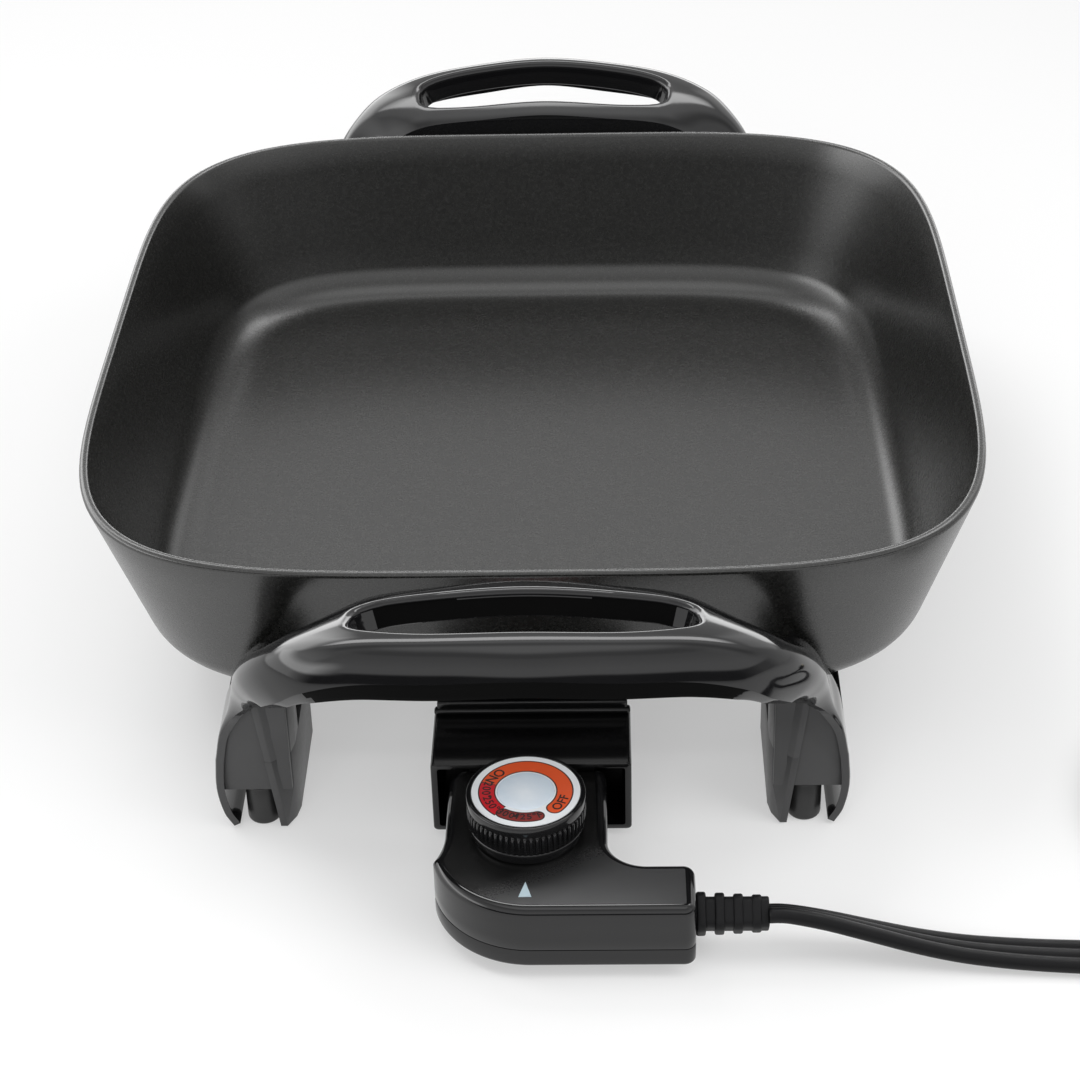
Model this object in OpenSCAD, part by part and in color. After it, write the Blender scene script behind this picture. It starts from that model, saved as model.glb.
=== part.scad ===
// Electric skillet: a deep square non-stick pan carried by two moulded handles whose ends
// run down into the legs, with a plug-in temperature control on a short flat cord.
// +Z is up, the table is Z = 0, the control is at the front (-Y).

/* [Pan] */
// Width of the rim, side to side
pan_w = 305; // [296:1:320]
// Depth of the rim, front to back
pan_d = 318; // [312:1:324]
// Height of the rim above the table
rim_h = 95; // [94:0.5:98]
// Depth of the pan inside, from the rim to the floor
pan_deep = 62; // [56:0.5:63]
// Thickness of the wall at the rim
pan_wall = 3; // [2.4:0.1:4]
// Thickness of the floor
pan_floor = 4; // [3:0.1:4.4]
// How far the inside wall leans in for each millimetre of depth
wall_lean = 0.29; // [0.24:0.01:0.34]
// Radius of the curve from the wall to the floor
floor_r = 15; // [12:0.5:18]
// Squareness of the corners along the front and back edges
corner_x = 4.3; // [3.6:0.1:5]
// Squareness of the corners along the side edges
corner_y = 4.8; // [4:0.1:5.6]

/* [Handles] */
// Wall of the moulded handles
shell_t = 2.8; // [2:0.1:3.2]
// Length of the finger slot
slot_len = 103; // [96:1:106]
// Depth of the collar round the finger slot
slot_deep = 10; // [6:0.5:11]
// Wall of that collar
collar_t = 2.4; // [1.8:0.1:2.8]
// Wall on the inner side of each leg
leg_wall = 2.2; // [1.6:0.1:2.8]
// Distance of the inner leg walls from the middle
leg_in = 76.5; // [75:0.5:78]
// How far the leg shells stop above the table
leg_lift = 0.8; // [0.5:0.1:1.5]
// Height of the lower edge of the plate between the walls of a leg
plate_low = 15; // [12:0.5:18]
// Diameter of the feet
foot_d = 11; // [9:0.5:12]
// Distance of the feet from the middle, side to side
foot_x = 88.2; // [86.5:0.1:89.5]
// Distance of the feet from the middle, front to back
foot_y = 159.3; // [156:0.1:160]
// Diameter of the threaded studs that hold the handles
stud_d = 4; // [3:0.1:4.6]

/* [Heater] */
// Diameter of the heating tube
tube_d = 6.6; // [6:0.1:7]
// Radius of the heating loop
loop_r = 80; // [60:1:95]
// Distance between the two terminal pins
pin_gap = 26; // [24:0.5:28]
// Diameter of the terminal pins
pin_d = 5; // [4:0.1:5.6]
// Height of the terminal pins above the table
pin_h = 17; // [16:0.25:18]
// Diameter of the temperature probe
probe_d = 6.4; // [5.6:0.1:7]
// Gap round the probe in its tube
probe_gap = 0.35; // [0.3:0.05:0.5]
// Wall of the probe tube
probe_tube_t = 1.2; // [0.8:0.1:1.6]
// Length of the probe beyond the nose of the control
probe_len = 50; // [46:1:54]

/* [Terminal guard] */
// Width of the guard
guard_w = 64; // [62:0.5:66]
// Height of the underside of the guard
guard_low = 2.6; // [2:0.1:3]
// Height of the roof of the guard
guard_top = 30; // [29.6:0.1:31]
// Wall of the guard
guard_t = 2; // [1.6:0.1:2.2]
// Depth of the guard, front to back
guard_deep = 29; // [27:0.5:30]

/* [Control] */
// Height of the underside of the control
control_low = 5; // [4.8:0.1:5.6]
// Height of the control from underside to top
control_h = 22.5; // [22:0.25:24]
// Wall of the control housings
control_t = 2; // [1.6:0.1:2.4]
// Rounding of the top edge of the control
control_r = 3; // [2:0.25:3.5]
// Height of the joint between the two housings
seam_h = 11.7; // [10.5:0.1:12.5]
// Reach of the cord arm to the right of the middle
arm_reach = 50.6; // [48:0.2:54]

/* [Dial] */
// Diameter of the knurled skirt
dial_d = 37.2; // [34:0.2:39]
// Height of the knob above the housing
dial_h = 15; // [13:0.25:17]
// Diameter of the printed label
label_d = 33.4; // [30:0.2:33.6]
// Diameter of the signal lens in the middle of the label
lens_d = 17.6; // [14:0.2:20]
// Number of ridges round the skirt
ridges = 60; // [48:2:72]
// Diameter of the dial shaft
shaft_d = 6; // [5:0.1:7]

/* [Cord] */
// Width of the flat three-core cord
cord_w = 13; // [12:0.25:13.5]
// Thickness of the cord
cord_t = 4.8; // [4:0.1:5]
// Length of the strain relief
relief_len = 22; // [20:0.5:26]

/* [Hidden] */

// A small gap between pieces that lie next to each other
clear = 0.3;
// Overlap of solids that are fused into one piece
fuse = 0.6;

// Pan: half sizes of the rim and the heights of the floor
pan_a = pan_w / 2;
pan_b = pan_d / 2;
floor_top = rim_h - pan_deep;
floor_low = floor_top - pan_floor;
lean_angle = atan(wall_lean);
// Inset of the inside wall where it would meet the floor without a curve
foot_inset = pan_wall + pan_deep * wall_lean;
// Length of the wall and of the floor that the curve takes up
curve_run = floor_r * tan((90 - lean_angle) / 2);
curve_inset = foot_inset + curve_run;
curve_z = floor_top + floor_r;
pan_sides = 72;
curve_steps = 6;

// Handles: stations from the middle of the grip down to the foot of the leg. Each holds
// the distance from the middle, the height of the crest, then from the pan outwards the
// inner edge, the crest and the outermost edge, how far the inner edge lies under the
// crest, the height of the outer rounding, the lower edge and how far it lies under the crest
station = [
    [0, 106.4, 167.5, 206, 217, 7.9, 9.1, 216.5, 15.3],
    [27.2, 104.7, 167.6, 204.4, 215, 8.2, 9.7, 214.5, 15.9],
    [51.5, 101.5, 168.8, 200.3, 211.2, 8.6, 9.4, 210.5, 15.4],
    [69.7, 94.9, 171, 195, 207.2, 11.6, 9.5, 206.3, 14.5],
    [80.9, 85.8, 170.5, 188, 201.8, 13.2, 10, 200.8, 13.6],
    [88, 75.8, 161, 180, 194, 10.8, 9.2, 193, 12],
    [91.9, 65.4, 149.5, 171.5, 183.8, 6.9, 7.6, 183, 9.8],
    [94, 55.6, 146, 165, 174.2, 3.2, 4.6, 173.4, 7],
    [96, 46.8, 144.5, 163.5, 168, 0.4, 1.6, 167.6, 3.9],
    [99.3, 38.3, 144.5, 164.5, 166, 0, 0.6, 166, 2.9],
    [101.2, 29, 144.5, 164.5, 166, 0, 0.5, 166, 2.8],
    [101.5, 27.4, 116, 164.5, 166, 0, 0.5, 166, 2.8],
    [102.2, 16, 116, 164.5, 166, 0, 0.5, 166, 2.8],
    [100.6, 6, 116, 164.5, 166, 0, 0.5, 166, 2.8],
    [98, leg_lift, 116, 164.5, 166, 0, 0.5, 166, 2.8]
];
last_station = len(station) - 1;
// Steps of the loft between two stations
loft_step = 2;
half_rows = loft_step * last_station;
// Columns of the loft: last one over the crown after the flange, round the outer edge, in all
crown_cols = 7;
round_cols = 4;
cols = crown_cols + round_cols + 2;
// Angle that the rounding turns through before the front edge
round_turn = 60;
// Height of the flange at the pan's side of the grip, and of its edge in the legs
flange_h = 9;
flange_low = 0.9;
// The patch of the loft that holds the finger slot
patch_rows = 5;
patch_first = 2;
patch_last = crown_cols;
// Slot outline as shares of that patch: half length, half width and rise of its middle
slot_half = slot_len / 2 / 63.2;
slot_mid = 0.045;
slot_rise = 0.05;
slot_wide = 0.767;
slot_power = 3.6;
slot_lip = 2.6;
leg_front = station[last_station][4];
leg_back = station[last_station][2];
under_pan = floor_low - 1;
wall_front = 147.5;
// Cross wall inside a leg, web over it with the stud hole, and the foot's stem
leg_cross = 150;
cross_low = 5;
web_top = floor_low - 1.6;
web_t = 3;
stem_h = 8;
screw_x = 90;
screw_y = 122;
stud_disc = 10;
nut_h = 3.2;

// Heater
element_z = floor_low - clear - tube_d / 2;
lead_bend = 12;
lead_centre_x = pin_gap / 2 + lead_bend;
lead_centre_y = sqrt(pow(loop_r + lead_bend, 2) - pow(lead_centre_x, 2));
loop_gap = atan2(lead_centre_x, lead_centre_y);
drop = element_z - pin_h;
drop_r = 11;
drop_angle = acos(1 - drop / 2 / drop_r);
drop_run = 2 * drop_r * sin(drop_angle);
drop_start = lead_centre_y + 8;
flat_start = drop_start + drop_run;
clip_w = 5.6;
clip_l = 9;
clip_t = 1.2;

// Terminal guard and what passes through its back wall
guard_front = 171;
guard_back = guard_front - guard_deep;
back_rise = 5;
tongue_w = 28;
tongue_t = 2.4;
tongue_back = 112;
guard_screw_x = 9.6;
guard_screw_y = 120;
guard_screw_d = 4;
pin_start = guard_back - 10;
collar_d = 9.6;
collar_len = 13;
tube_front = 150;
tube_back = 92;
saddle_w = 7;
saddle_l = 8;

// Control outline: positions from the middle of the pan, y counted to the front
neck_left = -26;
neck_right = 24.2;
neck_back = 175;
neck_y = 200;
arm_back = 215.6;
control_front = 237.2;
nose_back = 158.5;
nose_left = -20;
nose_right = 20;
nose_low = 7.5;
nose_high = 24.9;
flare_r = 29;
flare_out = 3.6;
body_r = 30.8;
body_x = 1;
body_y = control_front - body_r;
fillet_r = 12;
arm_r = control_r + 0.6;
control_top = control_low + control_h;
bottom_r = 1.4;
flare_x = neck_left - flare_r;
centre_span = norm([body_x - flare_x, body_y - neck_y]);
centre_lean = atan2(body_y - neck_y, body_x - flare_x);
boss_at = [[-19.5, -186.5], [17.8, -186.5], [-12, -228], [39, -229]];
boss_d = 6.4;
case_screw_d = 3;
head_h = 1.4;
socket_gap = 0.4;
clip_d = 7.6;
frame_w = 22;
frame_back = 182;
frame_front = 214;
frame_low = 9;
frame_t = 1.4;
frame_z = control_top - control_t - 3;
blade_w = 8;
blade_t = 0.8;
blade_len = 26;
blade_front = frame_back + frame_t + blade_len + 0.05;
lamp_d = 5;
lamp_len = 13;
lamp_x = 15.4;
lamp_z = control_top - control_t - clear - lamp_d / 2;
pin_end = nose_back + 9;
probe_end = nose_back - probe_len;
control_travel = 60;

// Dial
dial_x = -0.6;
dial_y = 199.5;
dial_base = 3;
dial_top = control_top + dial_h;
label_t = 0.4;
label_sink = 0.5;
ridge_deep = 0.7;
ridge_h = dial_h - dial_base - 1.5;
shaft_thin = 3.6;
shaft_low = frame_low + 5 + blade_t + 0.5;
blade_x = dial_x - blade_w / 2;
pointer_tip = 224.2;
pointer_base = 230.9;
pointer_w = 3.9;

// Cord: its route after the strain relief, seen from the middle of the pan
arm_mid = 226.4;
cord_z = control_low + control_h / 2;
cord_rest = cord_t / 2 + 0.8;
relief_end = arm_reach + relief_len;
relief_neck = 7;
relief_w = 12.4;
relief_t = 10.4;
relief_turn = -34;
rib_count = 4;
rib_t = 3;
rib_first = 3.4;
rib_pitch = 5.6;
rib_taper = 0.5;
tube_sides = 8;
// Coil: loops that lie on one another, one cord's thickness higher with each turn
coil_x = 256;
coil_y = -166;
coil_r = 68;
coil_turns = 1.25;
coil_rise = cord_t + 0.8;
coil_lead = 14;
loop_rings = 24;
loop_sides = 6;
coil_end_x = coil_x + coil_r;
coil_end_z = cord_rest + coil_rise * coil_turns;
tie_angle = -45;
tie_w = 10;
tie_t = 0.9;
plug_w = 26;
plug_t = 18.4;
plug_len = 34;
plug_relief = 20;
plug_z = plug_t / 2 + 0.3;
plug_start = -93;
route_y = coil_y - coil_r;
route = [
    [relief_end, -arm_mid, cord_z], [relief_end + 6, -226.4, cord_z - 0.2], [90, -227, 13.9],
    [104, -228, 10.4], [118, -229, 7], [132, -230, 4.7], [148, -231, 3.5],
    [164, -232, cord_rest], [184, -233, cord_rest], [206, -233.7, cord_rest],
    [228, route_y, cord_rest], [coil_x - coil_lead, route_y, cord_rest]
];
route_turn = [34, 34, 31, 26, 20, 13, 7, 3, 0, 0, 0, 0];
end_route = [
    [coil_end_x, coil_y + coil_lead, coil_end_z], [coil_end_x, coil_y + coil_lead + 13, coil_end_z],
    [coil_end_x, -122, coil_end_z / 2 + plug_z / 2], [coil_end_x, -106, plug_z],
    [coil_end_x, plug_start, plug_z]
];

// The object without its cord is centred over the origin
y_shift = (control_front - station[0][4]) / 2;

// ---------- helpers ----------

// Point of the squared plan outline of the pan at an inset from the rim
function pan_point(inset, angle, z) = [
    (pan_a - inset) * sign(cos(angle)) * pow(abs(cos(angle)), 2 / corner_x),
    (pan_b - inset) * sign(sin(angle)) * pow(abs(sin(angle)), 2 / corner_y), z];

function pan_ring(inset, z) =
    [for (i = [0 : pan_sides - 1]) pan_point(inset, (i + 0.5) * 360 / pan_sides, z)];

// Solid through a list of rings that all have the same number of points
module loft(rings) {
    n = len(rings[0]);
    m = len(rings);
    sides = [for (r = [0 : m - 2], i = [0 : n - 1]) each [
        [r * n + i, (r + 1) * n + i, (r + 1) * n + (i + 1) % n],
        [r * n + i, (r + 1) * n + (i + 1) % n, r * n + (i + 1) % n]]];
    polyhedron(points = [for (ring = rings) each ring],
        faces = concat([[for (i = [0 : n - 1]) i]],
            sides, [[for (i = [n - 1 : -1 : 0]) (m - 1) * n + i]]));
}

// Ring of a section at point i of a path, turned by an angle about the path
function ring_on(path, i, turn, section) = let (
        a = path[max(i - 1, 0)], b = path[min(i + 1, len(path) - 1)], d = (b - a) / norm(b - a),
        across = [-d[1], d[0], 0] / norm([d[0], d[1]]), up = cross(d, across))
    [for (s = section) let (x = s[0] * cos(turn) - s[1] * sin(turn),
        z = s[0] * sin(turn) + s[1] * cos(turn)) path[i] + across * x + up * z];

// Smooth value between the stations, mirrored about the middle of the grip
function knot(k, c) = let (s = station[min(abs(k), last_station)]) (k < 0 && c == 0) ? -s[c] : s[c];
function smooth(t, c) = let (
        k = min(floor(t), last_station - 1), f = t - k,
        p0 = knot(k - 1, c), p1 = knot(k, c), p2 = knot(k + 1, c), p3 = knot(k + 2, c),
        z0 = knot(k - 1, 1), z1 = knot(k, 1), z2 = knot(k + 1, 1), z3 = knot(k + 2, 1),
        // in the leg the line follows the height, and the rear edge keeps its step sharp
        leg = c < 2 && k >= 9,
        m1 = (c == 2 && k >= 9) ? 0 : (p2 - p0) * (leg ? (z2 - z1) / (z2 - z0) : 0.5),
        m2 = (c == 2 && k >= 8) ? 0 : (p3 - p1) * (leg ? (z2 - z1) / (z3 - z1) : 0.5))
    (2 * f * f * f - 3 * f * f + 1) * p1 + (f * f * f - 2 * f * f + f) * m1
    + (3 * f * f - 2 * f * f * f) * p2 + (f * f * f - f * f) * m2;

// Outward normal of the crest line, seen from the front
function normal(t) = let (a = max(t - 0.05, 0), b = min(t + 0.05, last_station),
        dx = smooth(b, 0) - smooth(a, 0), dz = smooth(b, 1) - smooth(a, 1), n = norm([dx, dz]))
    t == 0 ? [0, 1] : [-dz / n, dx / n];

// Point of the handle at station t: y from the middle of the pan, depth under the crest
function at(t, y, depth) = let (n = normal(t))
    [smooth(t, 0) - n[0] * depth, y, smooth(t, 1) - n[1] * depth];

// Depth of the crown under the crest line, at a distance y from the middle of the pan
function crown(t, y) = let (s = (y - smooth(t, 2)) / (smooth(t, 3) - smooth(t, 2)))
    smooth(t, 5) * pow(1 - s, 2);

// Share of the flange at the pan's side, which fades out in the shoulders
function flange(t) = min(1, max(0, (4.5 - t) / 2));

// The outer skin in columns, from the flange at the pan, over the crown, to the lower edge
function outer(t, c) = c == 0
    ? [smooth(t, 2), smooth(t, 5) + flange_low + flange(t) * (flange_h - flange_low)]
    : c <= crown_cols
    ? let (s = [0, 0.12, 0.34, 0.56, 0.78, 0.95, 1][c - 1],
        y = smooth(t, 2) + s * (smooth(t, 3) - smooth(t, 2))) [y, crown(t, y)]
    : c <= crown_cols + round_cols
    ? let (a = (c - crown_cols) * round_turn / round_cols)
        [smooth(t, 3) + sin(a) / sin(round_turn) * (smooth(t, 4) - smooth(t, 3)),
         (1 - cos(a)) / (1 - cos(round_turn)) * smooth(t, 6)]
    : [smooth(t, 7), smooth(t, 8)];

// The inside skin follows the outside in the skirt of the grip, and lies flat in the legs
function skirt(t) = min(1, max(0, (smooth(t, 8) - shell_t) / 5));
function inner(t, c) = let (p = outer(t, c), k = c - crown_cols,
        a = min(66, k * 66 / round_cols), w = flange(t),
        round = k > round_cols ? [p[0] - shell_t, p[1]]
            : [p[0] - shell_t * sin(a), p[1] + shell_t * cos(a)],
        flat = [smooth(t, 3) + k / (round_cols + 1) * (smooth(t, 7) - 0.3 - smooth(t, 3)), shell_t])
    c == 0 ? [p[0] + shell_t * w, p[1] + (1 - w) * (shell_t - flange_low)]
    : c <= crown_cols ? [p[0] + (c == 1 ? max(0.5, shell_t * w) : 0), p[1] + shell_t]
    : skirt(t) * round + (1 - skirt(t)) * flat;

function row_t(i) = abs(i - half_rows) / loft_step;
function row_side(i) = i < half_rows ? -1 : 1;
function skin(i, c, inside) = let (t = row_t(i), p = inside ? inner(t, c) : outer(t, c),
        q = at(t, p[0], p[1])) [row_side(i) * q[0], -q[1], q[2]];

// Cells of the slot patch run along its edge: first the row at the pan, then round
patch_a = half_rows - patch_rows;
patch_b = half_rows + patch_rows;
patch_n = 2 * (patch_b - patch_a) + 2 * (patch_last - patch_first);
function patch_cell(k) = let (w = patch_b - patch_a, h = patch_last - patch_first)
    k < w ? [patch_a + k, patch_first]
    : k < w + h ? [patch_b, patch_first + k - w]
    : k < 2 * w + h ? [patch_b - (k - w - h), patch_last]
    : [patch_a, patch_last - (k - 2 * w - h)];
// The same place as shares of the patch, from -1 to 1 both ways
function patch_share(k) = let (q = patch_cell(k))
    [(q[0] - half_rows) / patch_rows,
     2 * (q[1] - patch_first) / (patch_last - patch_first) - 1];
// Slot edge in the direction of that place, grown by a distance in millimetres
function slot_share(k, grow) = let (q = patch_share(k),
        a = slot_half + grow / 58, b = slot_wide + grow / 17,
        r = 1 / pow(pow(abs(q[0] / a), slot_power) + pow(abs(q[1] / b), slot_power), 1 / slot_power))
    [q[0] * r, slot_mid + q[1] * r + slot_rise * (1 - abs(q[1]))];
function patch_point(share, depth) = let (t = abs(share[0]) * patch_rows / loft_step,
        ya = outer(t, patch_first)[0], yb = outer(t, patch_last)[0],
        y = ya + (share[1] + 1) / 2 * (yb - ya),
        q = at(t, y, crown(t, y) + depth)) [sign(share[0]) * q[0], -q[1], q[2]];

// Moulded bow of a handle: one closed skin with the finger slot and its collar
module bow() {
    rows = 2 * half_rows + 1;
    w = cols;
    skin_n = rows * w;
    pts = concat(
        [for (i = [0 : rows - 1], c = [0 : w - 1]) skin(i, c, false)],
        [for (i = [0 : rows - 1], c = [0 : w - 1]) skin(i, c, true)],
        [for (k = [0 : patch_n - 1]) patch_point(slot_share(k, slot_lip), 0)],
        [for (k = [0 : patch_n - 1]) patch_point(slot_share(k, 0), slot_lip)],
        [for (k = [0 : patch_n - 1]) patch_point(slot_share(k, 0), slot_deep)],
        [for (k = [0 : patch_n - 1]) patch_point(slot_share(k, collar_t), slot_deep)],
        [for (k = [0 : patch_n - 1]) patch_point(slot_share(k, collar_t), shell_t)]);
    ring0 = 2 * skin_n;
    function in_patch(i, c) = i >= patch_a && i < patch_b && c >= patch_first && c < patch_last;
    outside = [for (i = [0 : rows - 2], c = [0 : w - 2]) if (!in_patch(i, c)) each [
        [i * w + c, i * w + c + 1, (i + 1) * w + c + 1],
        [i * w + c, (i + 1) * w + c + 1, (i + 1) * w + c]]];
    inside = [for (f = outside) [f[2] + skin_n, f[1] + skin_n, f[0] + skin_n]];
    function edge(a, b) = [[a, b, b + skin_n], [a, b + skin_n, a + skin_n]];
    edges = concat(
        [for (i = [0 : rows - 2]) each edge(i * w, (i + 1) * w)],
        [for (i = [0 : rows - 2]) each edge((i + 1) * w + w - 1, i * w + w - 1)],
        [for (c = [0 : w - 2]) each edge(c + 1, c)],
        [for (c = [0 : w - 2]) each edge((rows - 1) * w + c, (rows - 1) * w + c + 1)]);
    function cell(k) = let (q = patch_cell(k % patch_n)) q[0] * w + q[1];
    function ring(r, k) = ring0 + r * patch_n + k % patch_n;
    patch = [for (k = [0 : patch_n - 1]) each [
        [cell(k), ring(0, k), ring(0, k + 1)], [cell(k), ring(0, k + 1), cell(k + 1)],
        [ring(0, k), ring(1, k), ring(1, k + 1)], [ring(0, k), ring(1, k + 1), ring(0, k + 1)],
        [ring(1, k), ring(2, k), ring(2, k + 1)], [ring(1, k), ring(2, k + 1), ring(1, k + 1)],
        [ring(2, k), ring(3, k), ring(3, k + 1)], [ring(2, k), ring(3, k + 1), ring(2, k + 1)],
        [ring(3, k), ring(4, k), ring(4, k + 1)], [ring(3, k), ring(4, k + 1), ring(3, k + 1)],
        [ring(4, k), cell(k) + skin_n, cell(k + 1) + skin_n],
        [ring(4, k), cell(k + 1) + skin_n, ring(4, k + 1)]]];
    polyhedron(points = pts,
        faces = [for (f = concat(outside, inside, edges, patch)) [f[2], f[1], f[0]]]);
}

// ---------- handles ----------

// Distance from the middle of the inner leg wall's front edge, at a height
function wall_front_x(z) = 80 + 6.2 * z / 50;

// Plan outline of the inner leg wall at a height, from a given rear end
function wall_ring(z, back) = [
    [leg_in, -back, z], [leg_in, -leg_front + 10, z], [leg_in + 1, -leg_front + 5, z],
    [wall_front_x(z), -leg_front, z], [wall_front_x(z) + leg_wall, -leg_front, z],
    [leg_in + 1 + leg_wall, -leg_front + 5, z], [leg_in + leg_wall, -leg_front + 10, z],
    [leg_in + leg_wall, -back, z]];

// Outline of a leg between its walls, seen from the front, between two heights
function leg_span(low, high) = concat(
    [[leg_in + leg_wall / 2, low], [leg_in + leg_wall / 2, high]],
    [for (k = [7 : last_station]) let (q = at(k, 0, shell_t / 2))
        if (q[2] > low && q[2] < high) [q[0], q[2]]],
    [[at(13, 0, shell_t / 2)[0] + (low > 10 ? 1.5 : 0), low]]);

module leg_plate(front, thick, low, high) {
    translate([0, -front + thick, 0]) rotate([90, 0, 0]) linear_extrude(thick)
        polygon(leg_span(low, high));
}

// Solid feet, studs and screws of a leg stand at these places
module leg() {
    difference() {
        union() {
            loft([wall_ring(leg_lift, leg_back), wall_ring(14, leg_back),
                wall_ring(web_top, leg_back)]);
            loft([wall_ring(web_top - fuse, wall_front), wall_ring(40, wall_front),
                wall_ring(52, wall_front)]);
            leg_plate(leg_front - 1.4, 2, plate_low, 50);
            leg_plate(leg_cross, 2, cross_low, web_top + 6);
            translate([leg_in + 1, -leg_cross + 1, web_top - web_t])
                cube([22.6, leg_cross - leg_back - 2, web_t]);
            translate([foot_x, -foot_y, plate_low]) cylinder(d = foot_d - 1, h = stem_h + 3, $fn = 48);
        }
        translate([screw_x, -screw_y, 0]) cylinder(d = stud_d + 2 * clear, h = 40, $fn = 48);
        translate([foot_x, -foot_y, plate_low - 1])
            cylinder(d = foot_d / 2 + 2 * clear, h = stem_h + 1 + clear, $fn = 48);
    }
}

module handle() {
    union() {
        bow();
        leg();
        mirror([1, 0, 0]) leg();
    }
}

module front_handle() {
    color("#101010") translate([0, y_shift, 0]) handle();
}

module rear_handle() {
    color("#101010") translate([0, y_shift, 0]) rotate([0, 0, 180]) handle();
}

// The four places where a leg stands
module each_leg() {
    for (sx = [0, 1], sy = [0, 1])
        translate([0, y_shift, 0]) mirror([sx, 0, 0]) mirror([0, sy, 0]) children();
}

// A foot: a round post with a softened edge and a stem that sits in the leg
module feet() {
    color("#151515") each_leg() translate([foot_x, -foot_y, 0]) rotate_extrude($fn = 48)
        polygon([[0, 0], [foot_d / 2 - 1.5, 0], [foot_d / 2 - 0.4, 0.5], [foot_d / 2, 1.6],
            [foot_d / 2, plate_low], [foot_d / 4, plate_low],
            [foot_d / 4, plate_low + stem_h], [0, plate_low + stem_h]]);
}

// Studs welded under the pan: a disc and a threaded rod that passes through the leg's web
module handle_studs() {
    color("#9a9a98") each_leg() translate([screw_x, -screw_y, 0]) union() {
        translate([0, 0, web_top + 0.05])
            cylinder(d = stud_disc, h = floor_low - web_top - 0.1, $fn = 48);
        translate([0, 0, web_top - web_t - nut_h - 2])
            cylinder(d = stud_d, h = web_t + nut_h + 3, $fn = 48);
    }
}

// A nut with a washer under the web of each leg
module handle_nuts() {
    color("#b8b8b8") each_leg() translate([screw_x, -screw_y, web_top - web_t - 0.05])
        rotate([180, 0, 0]) difference() {
            union() {
                cylinder(d = 2.4 * stud_d, h = 0.8, $fn = 48);
                cylinder(d = 2 * stud_d, h = 0.8 + nut_h, $fn = 6);
            }
            translate([0, 0, -1]) cylinder(d = stud_d + 0.1, h = nut_h + 3, $fn = 48);
        }
}

// ---------- pan and heater ----------

// Rings of the pan's outside from the floor up, then of its inside from the rim down
function outside_rings() = concat(
    [for (i = [0 : curve_steps]) let (a = i * (90 - lean_angle) / curve_steps)
        pan_ring(curve_inset - (floor_r + pan_wall) * sin(a),
            curve_z - (floor_r + pan_floor) * cos(a))],
    [pan_ring(0, rim_h)]);
function inside_rings() = concat(
    [pan_ring(pan_wall, rim_h)],
    [for (i = [curve_steps : -1 : 0]) let (a = i * (90 - lean_angle) / curve_steps)
        pan_ring(curve_inset - floor_r * sin(a), curve_z - floor_r * cos(a))]);

module pan() {
    color("#3a3a3a") translate([0, y_shift, 0]) loft(concat(outside_rings(), inside_rings()));
}

// Half of the line of the heating tube: pin, rise to the pan, bend and half of the loop
element_half = concat(
    [[pin_gap / 2, -pin_start + 0.05, pin_h]],
    [for (i = [0 : 3]) let (b = i * drop_angle / 3)
        [pin_gap / 2, -flat_start + drop_r * sin(b), pin_h + drop_r * (1 - cos(b))]],
    [for (i = [2 : -1 : 0]) let (b = i * drop_angle / 3)
        [pin_gap / 2, -drop_start - drop_r * sin(b), element_z - drop_r * (1 - cos(b))]],
    [for (i = [0 : 5]) let (a = 180 - i * (90 - loop_gap) / 5)
        [lead_centre_x + lead_bend * cos(a), -lead_centre_y + lead_bend * sin(a), element_z]],
    [for (i = [1 : 15]) let (a = -90 + loop_gap + i * (180 - loop_gap) / 16)
        [loop_r * cos(a), loop_r * sin(a), element_z]]);
element_line = concat(element_half, [[0, loop_r, element_z]],
    [for (i = [len(element_half) - 1 : -1 : 0]) let (q = element_half[i]) [-q[0], q[1], q[2]]]);
function round_section(d, n) = [for (i = [0 : n - 1]) let (a = (i + 0.5) * 360 / n)
    [d / 2 * cos(a), d / 2 * sin(a)]];

module heating_element() {
    color("#6e6a66") translate([0, y_shift, 0])
        loft([for (i = [0 : len(element_line) - 1])
            ring_on(element_line, i, 0, round_section(tube_d, 12))]);
}

// Saddles that hold the heating loop under the pan
module element_clips() {
    color("#8c8c8a") translate([0, y_shift, 0]) for (a = [0, 90, 180])
        rotate([0, 0, a]) translate([loop_r, 0, 0]) difference() {
            translate([-clip_w, -clip_l / 2, element_z - tube_d / 2 - clip_t])
                cube([2 * clip_w, clip_l, floor_low - 0.05 - (element_z - tube_d / 2 - clip_t)]);
            translate([-loop_r, 0, element_z])
                rotate([0, 0, -20]) rotate_extrude(angle = 40, $fn = 96)
                    translate([loop_r, 0]) union() {
                        circle(d = tube_d + 2 * clear, $fn = 48);
                        translate([-tube_d / 2 - clear, 0]) square([tube_d + 2 * clear, tube_d]);
                    }
        }
}

// Pins that the control's sockets slide over
module terminal_pins() {
    color("#c9c6bd") translate([0, y_shift, 0]) for (s = [-1, 1])
        translate([s * pin_gap / 2, -pin_start, pin_h]) rotate([90, 0, 0]) union() {
            cylinder(d = pin_d, h = pin_end - pin_start - pin_d / 2, $fn = 48);
            translate([0, 0, pin_end - pin_start - pin_d / 2]) sphere(d = pin_d, $fn = 48);
        }
}

// Ceramic collars that carry the pins in the back wall of the guard
module pin_insulators() {
    color("#e4ded0") translate([0, y_shift, 0]) for (s = [-1, 1])
        translate([s * pin_gap / 2, -pin_start - 1, pin_h]) rotate([90, 0, 0]) difference() {
            cylinder(d = collar_d, h = collar_len, $fn = 48);
            translate([0, 0, -1]) cylinder(d = pin_d + 0.1, h = collar_len + 2, $fn = 48);
        }
}

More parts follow.
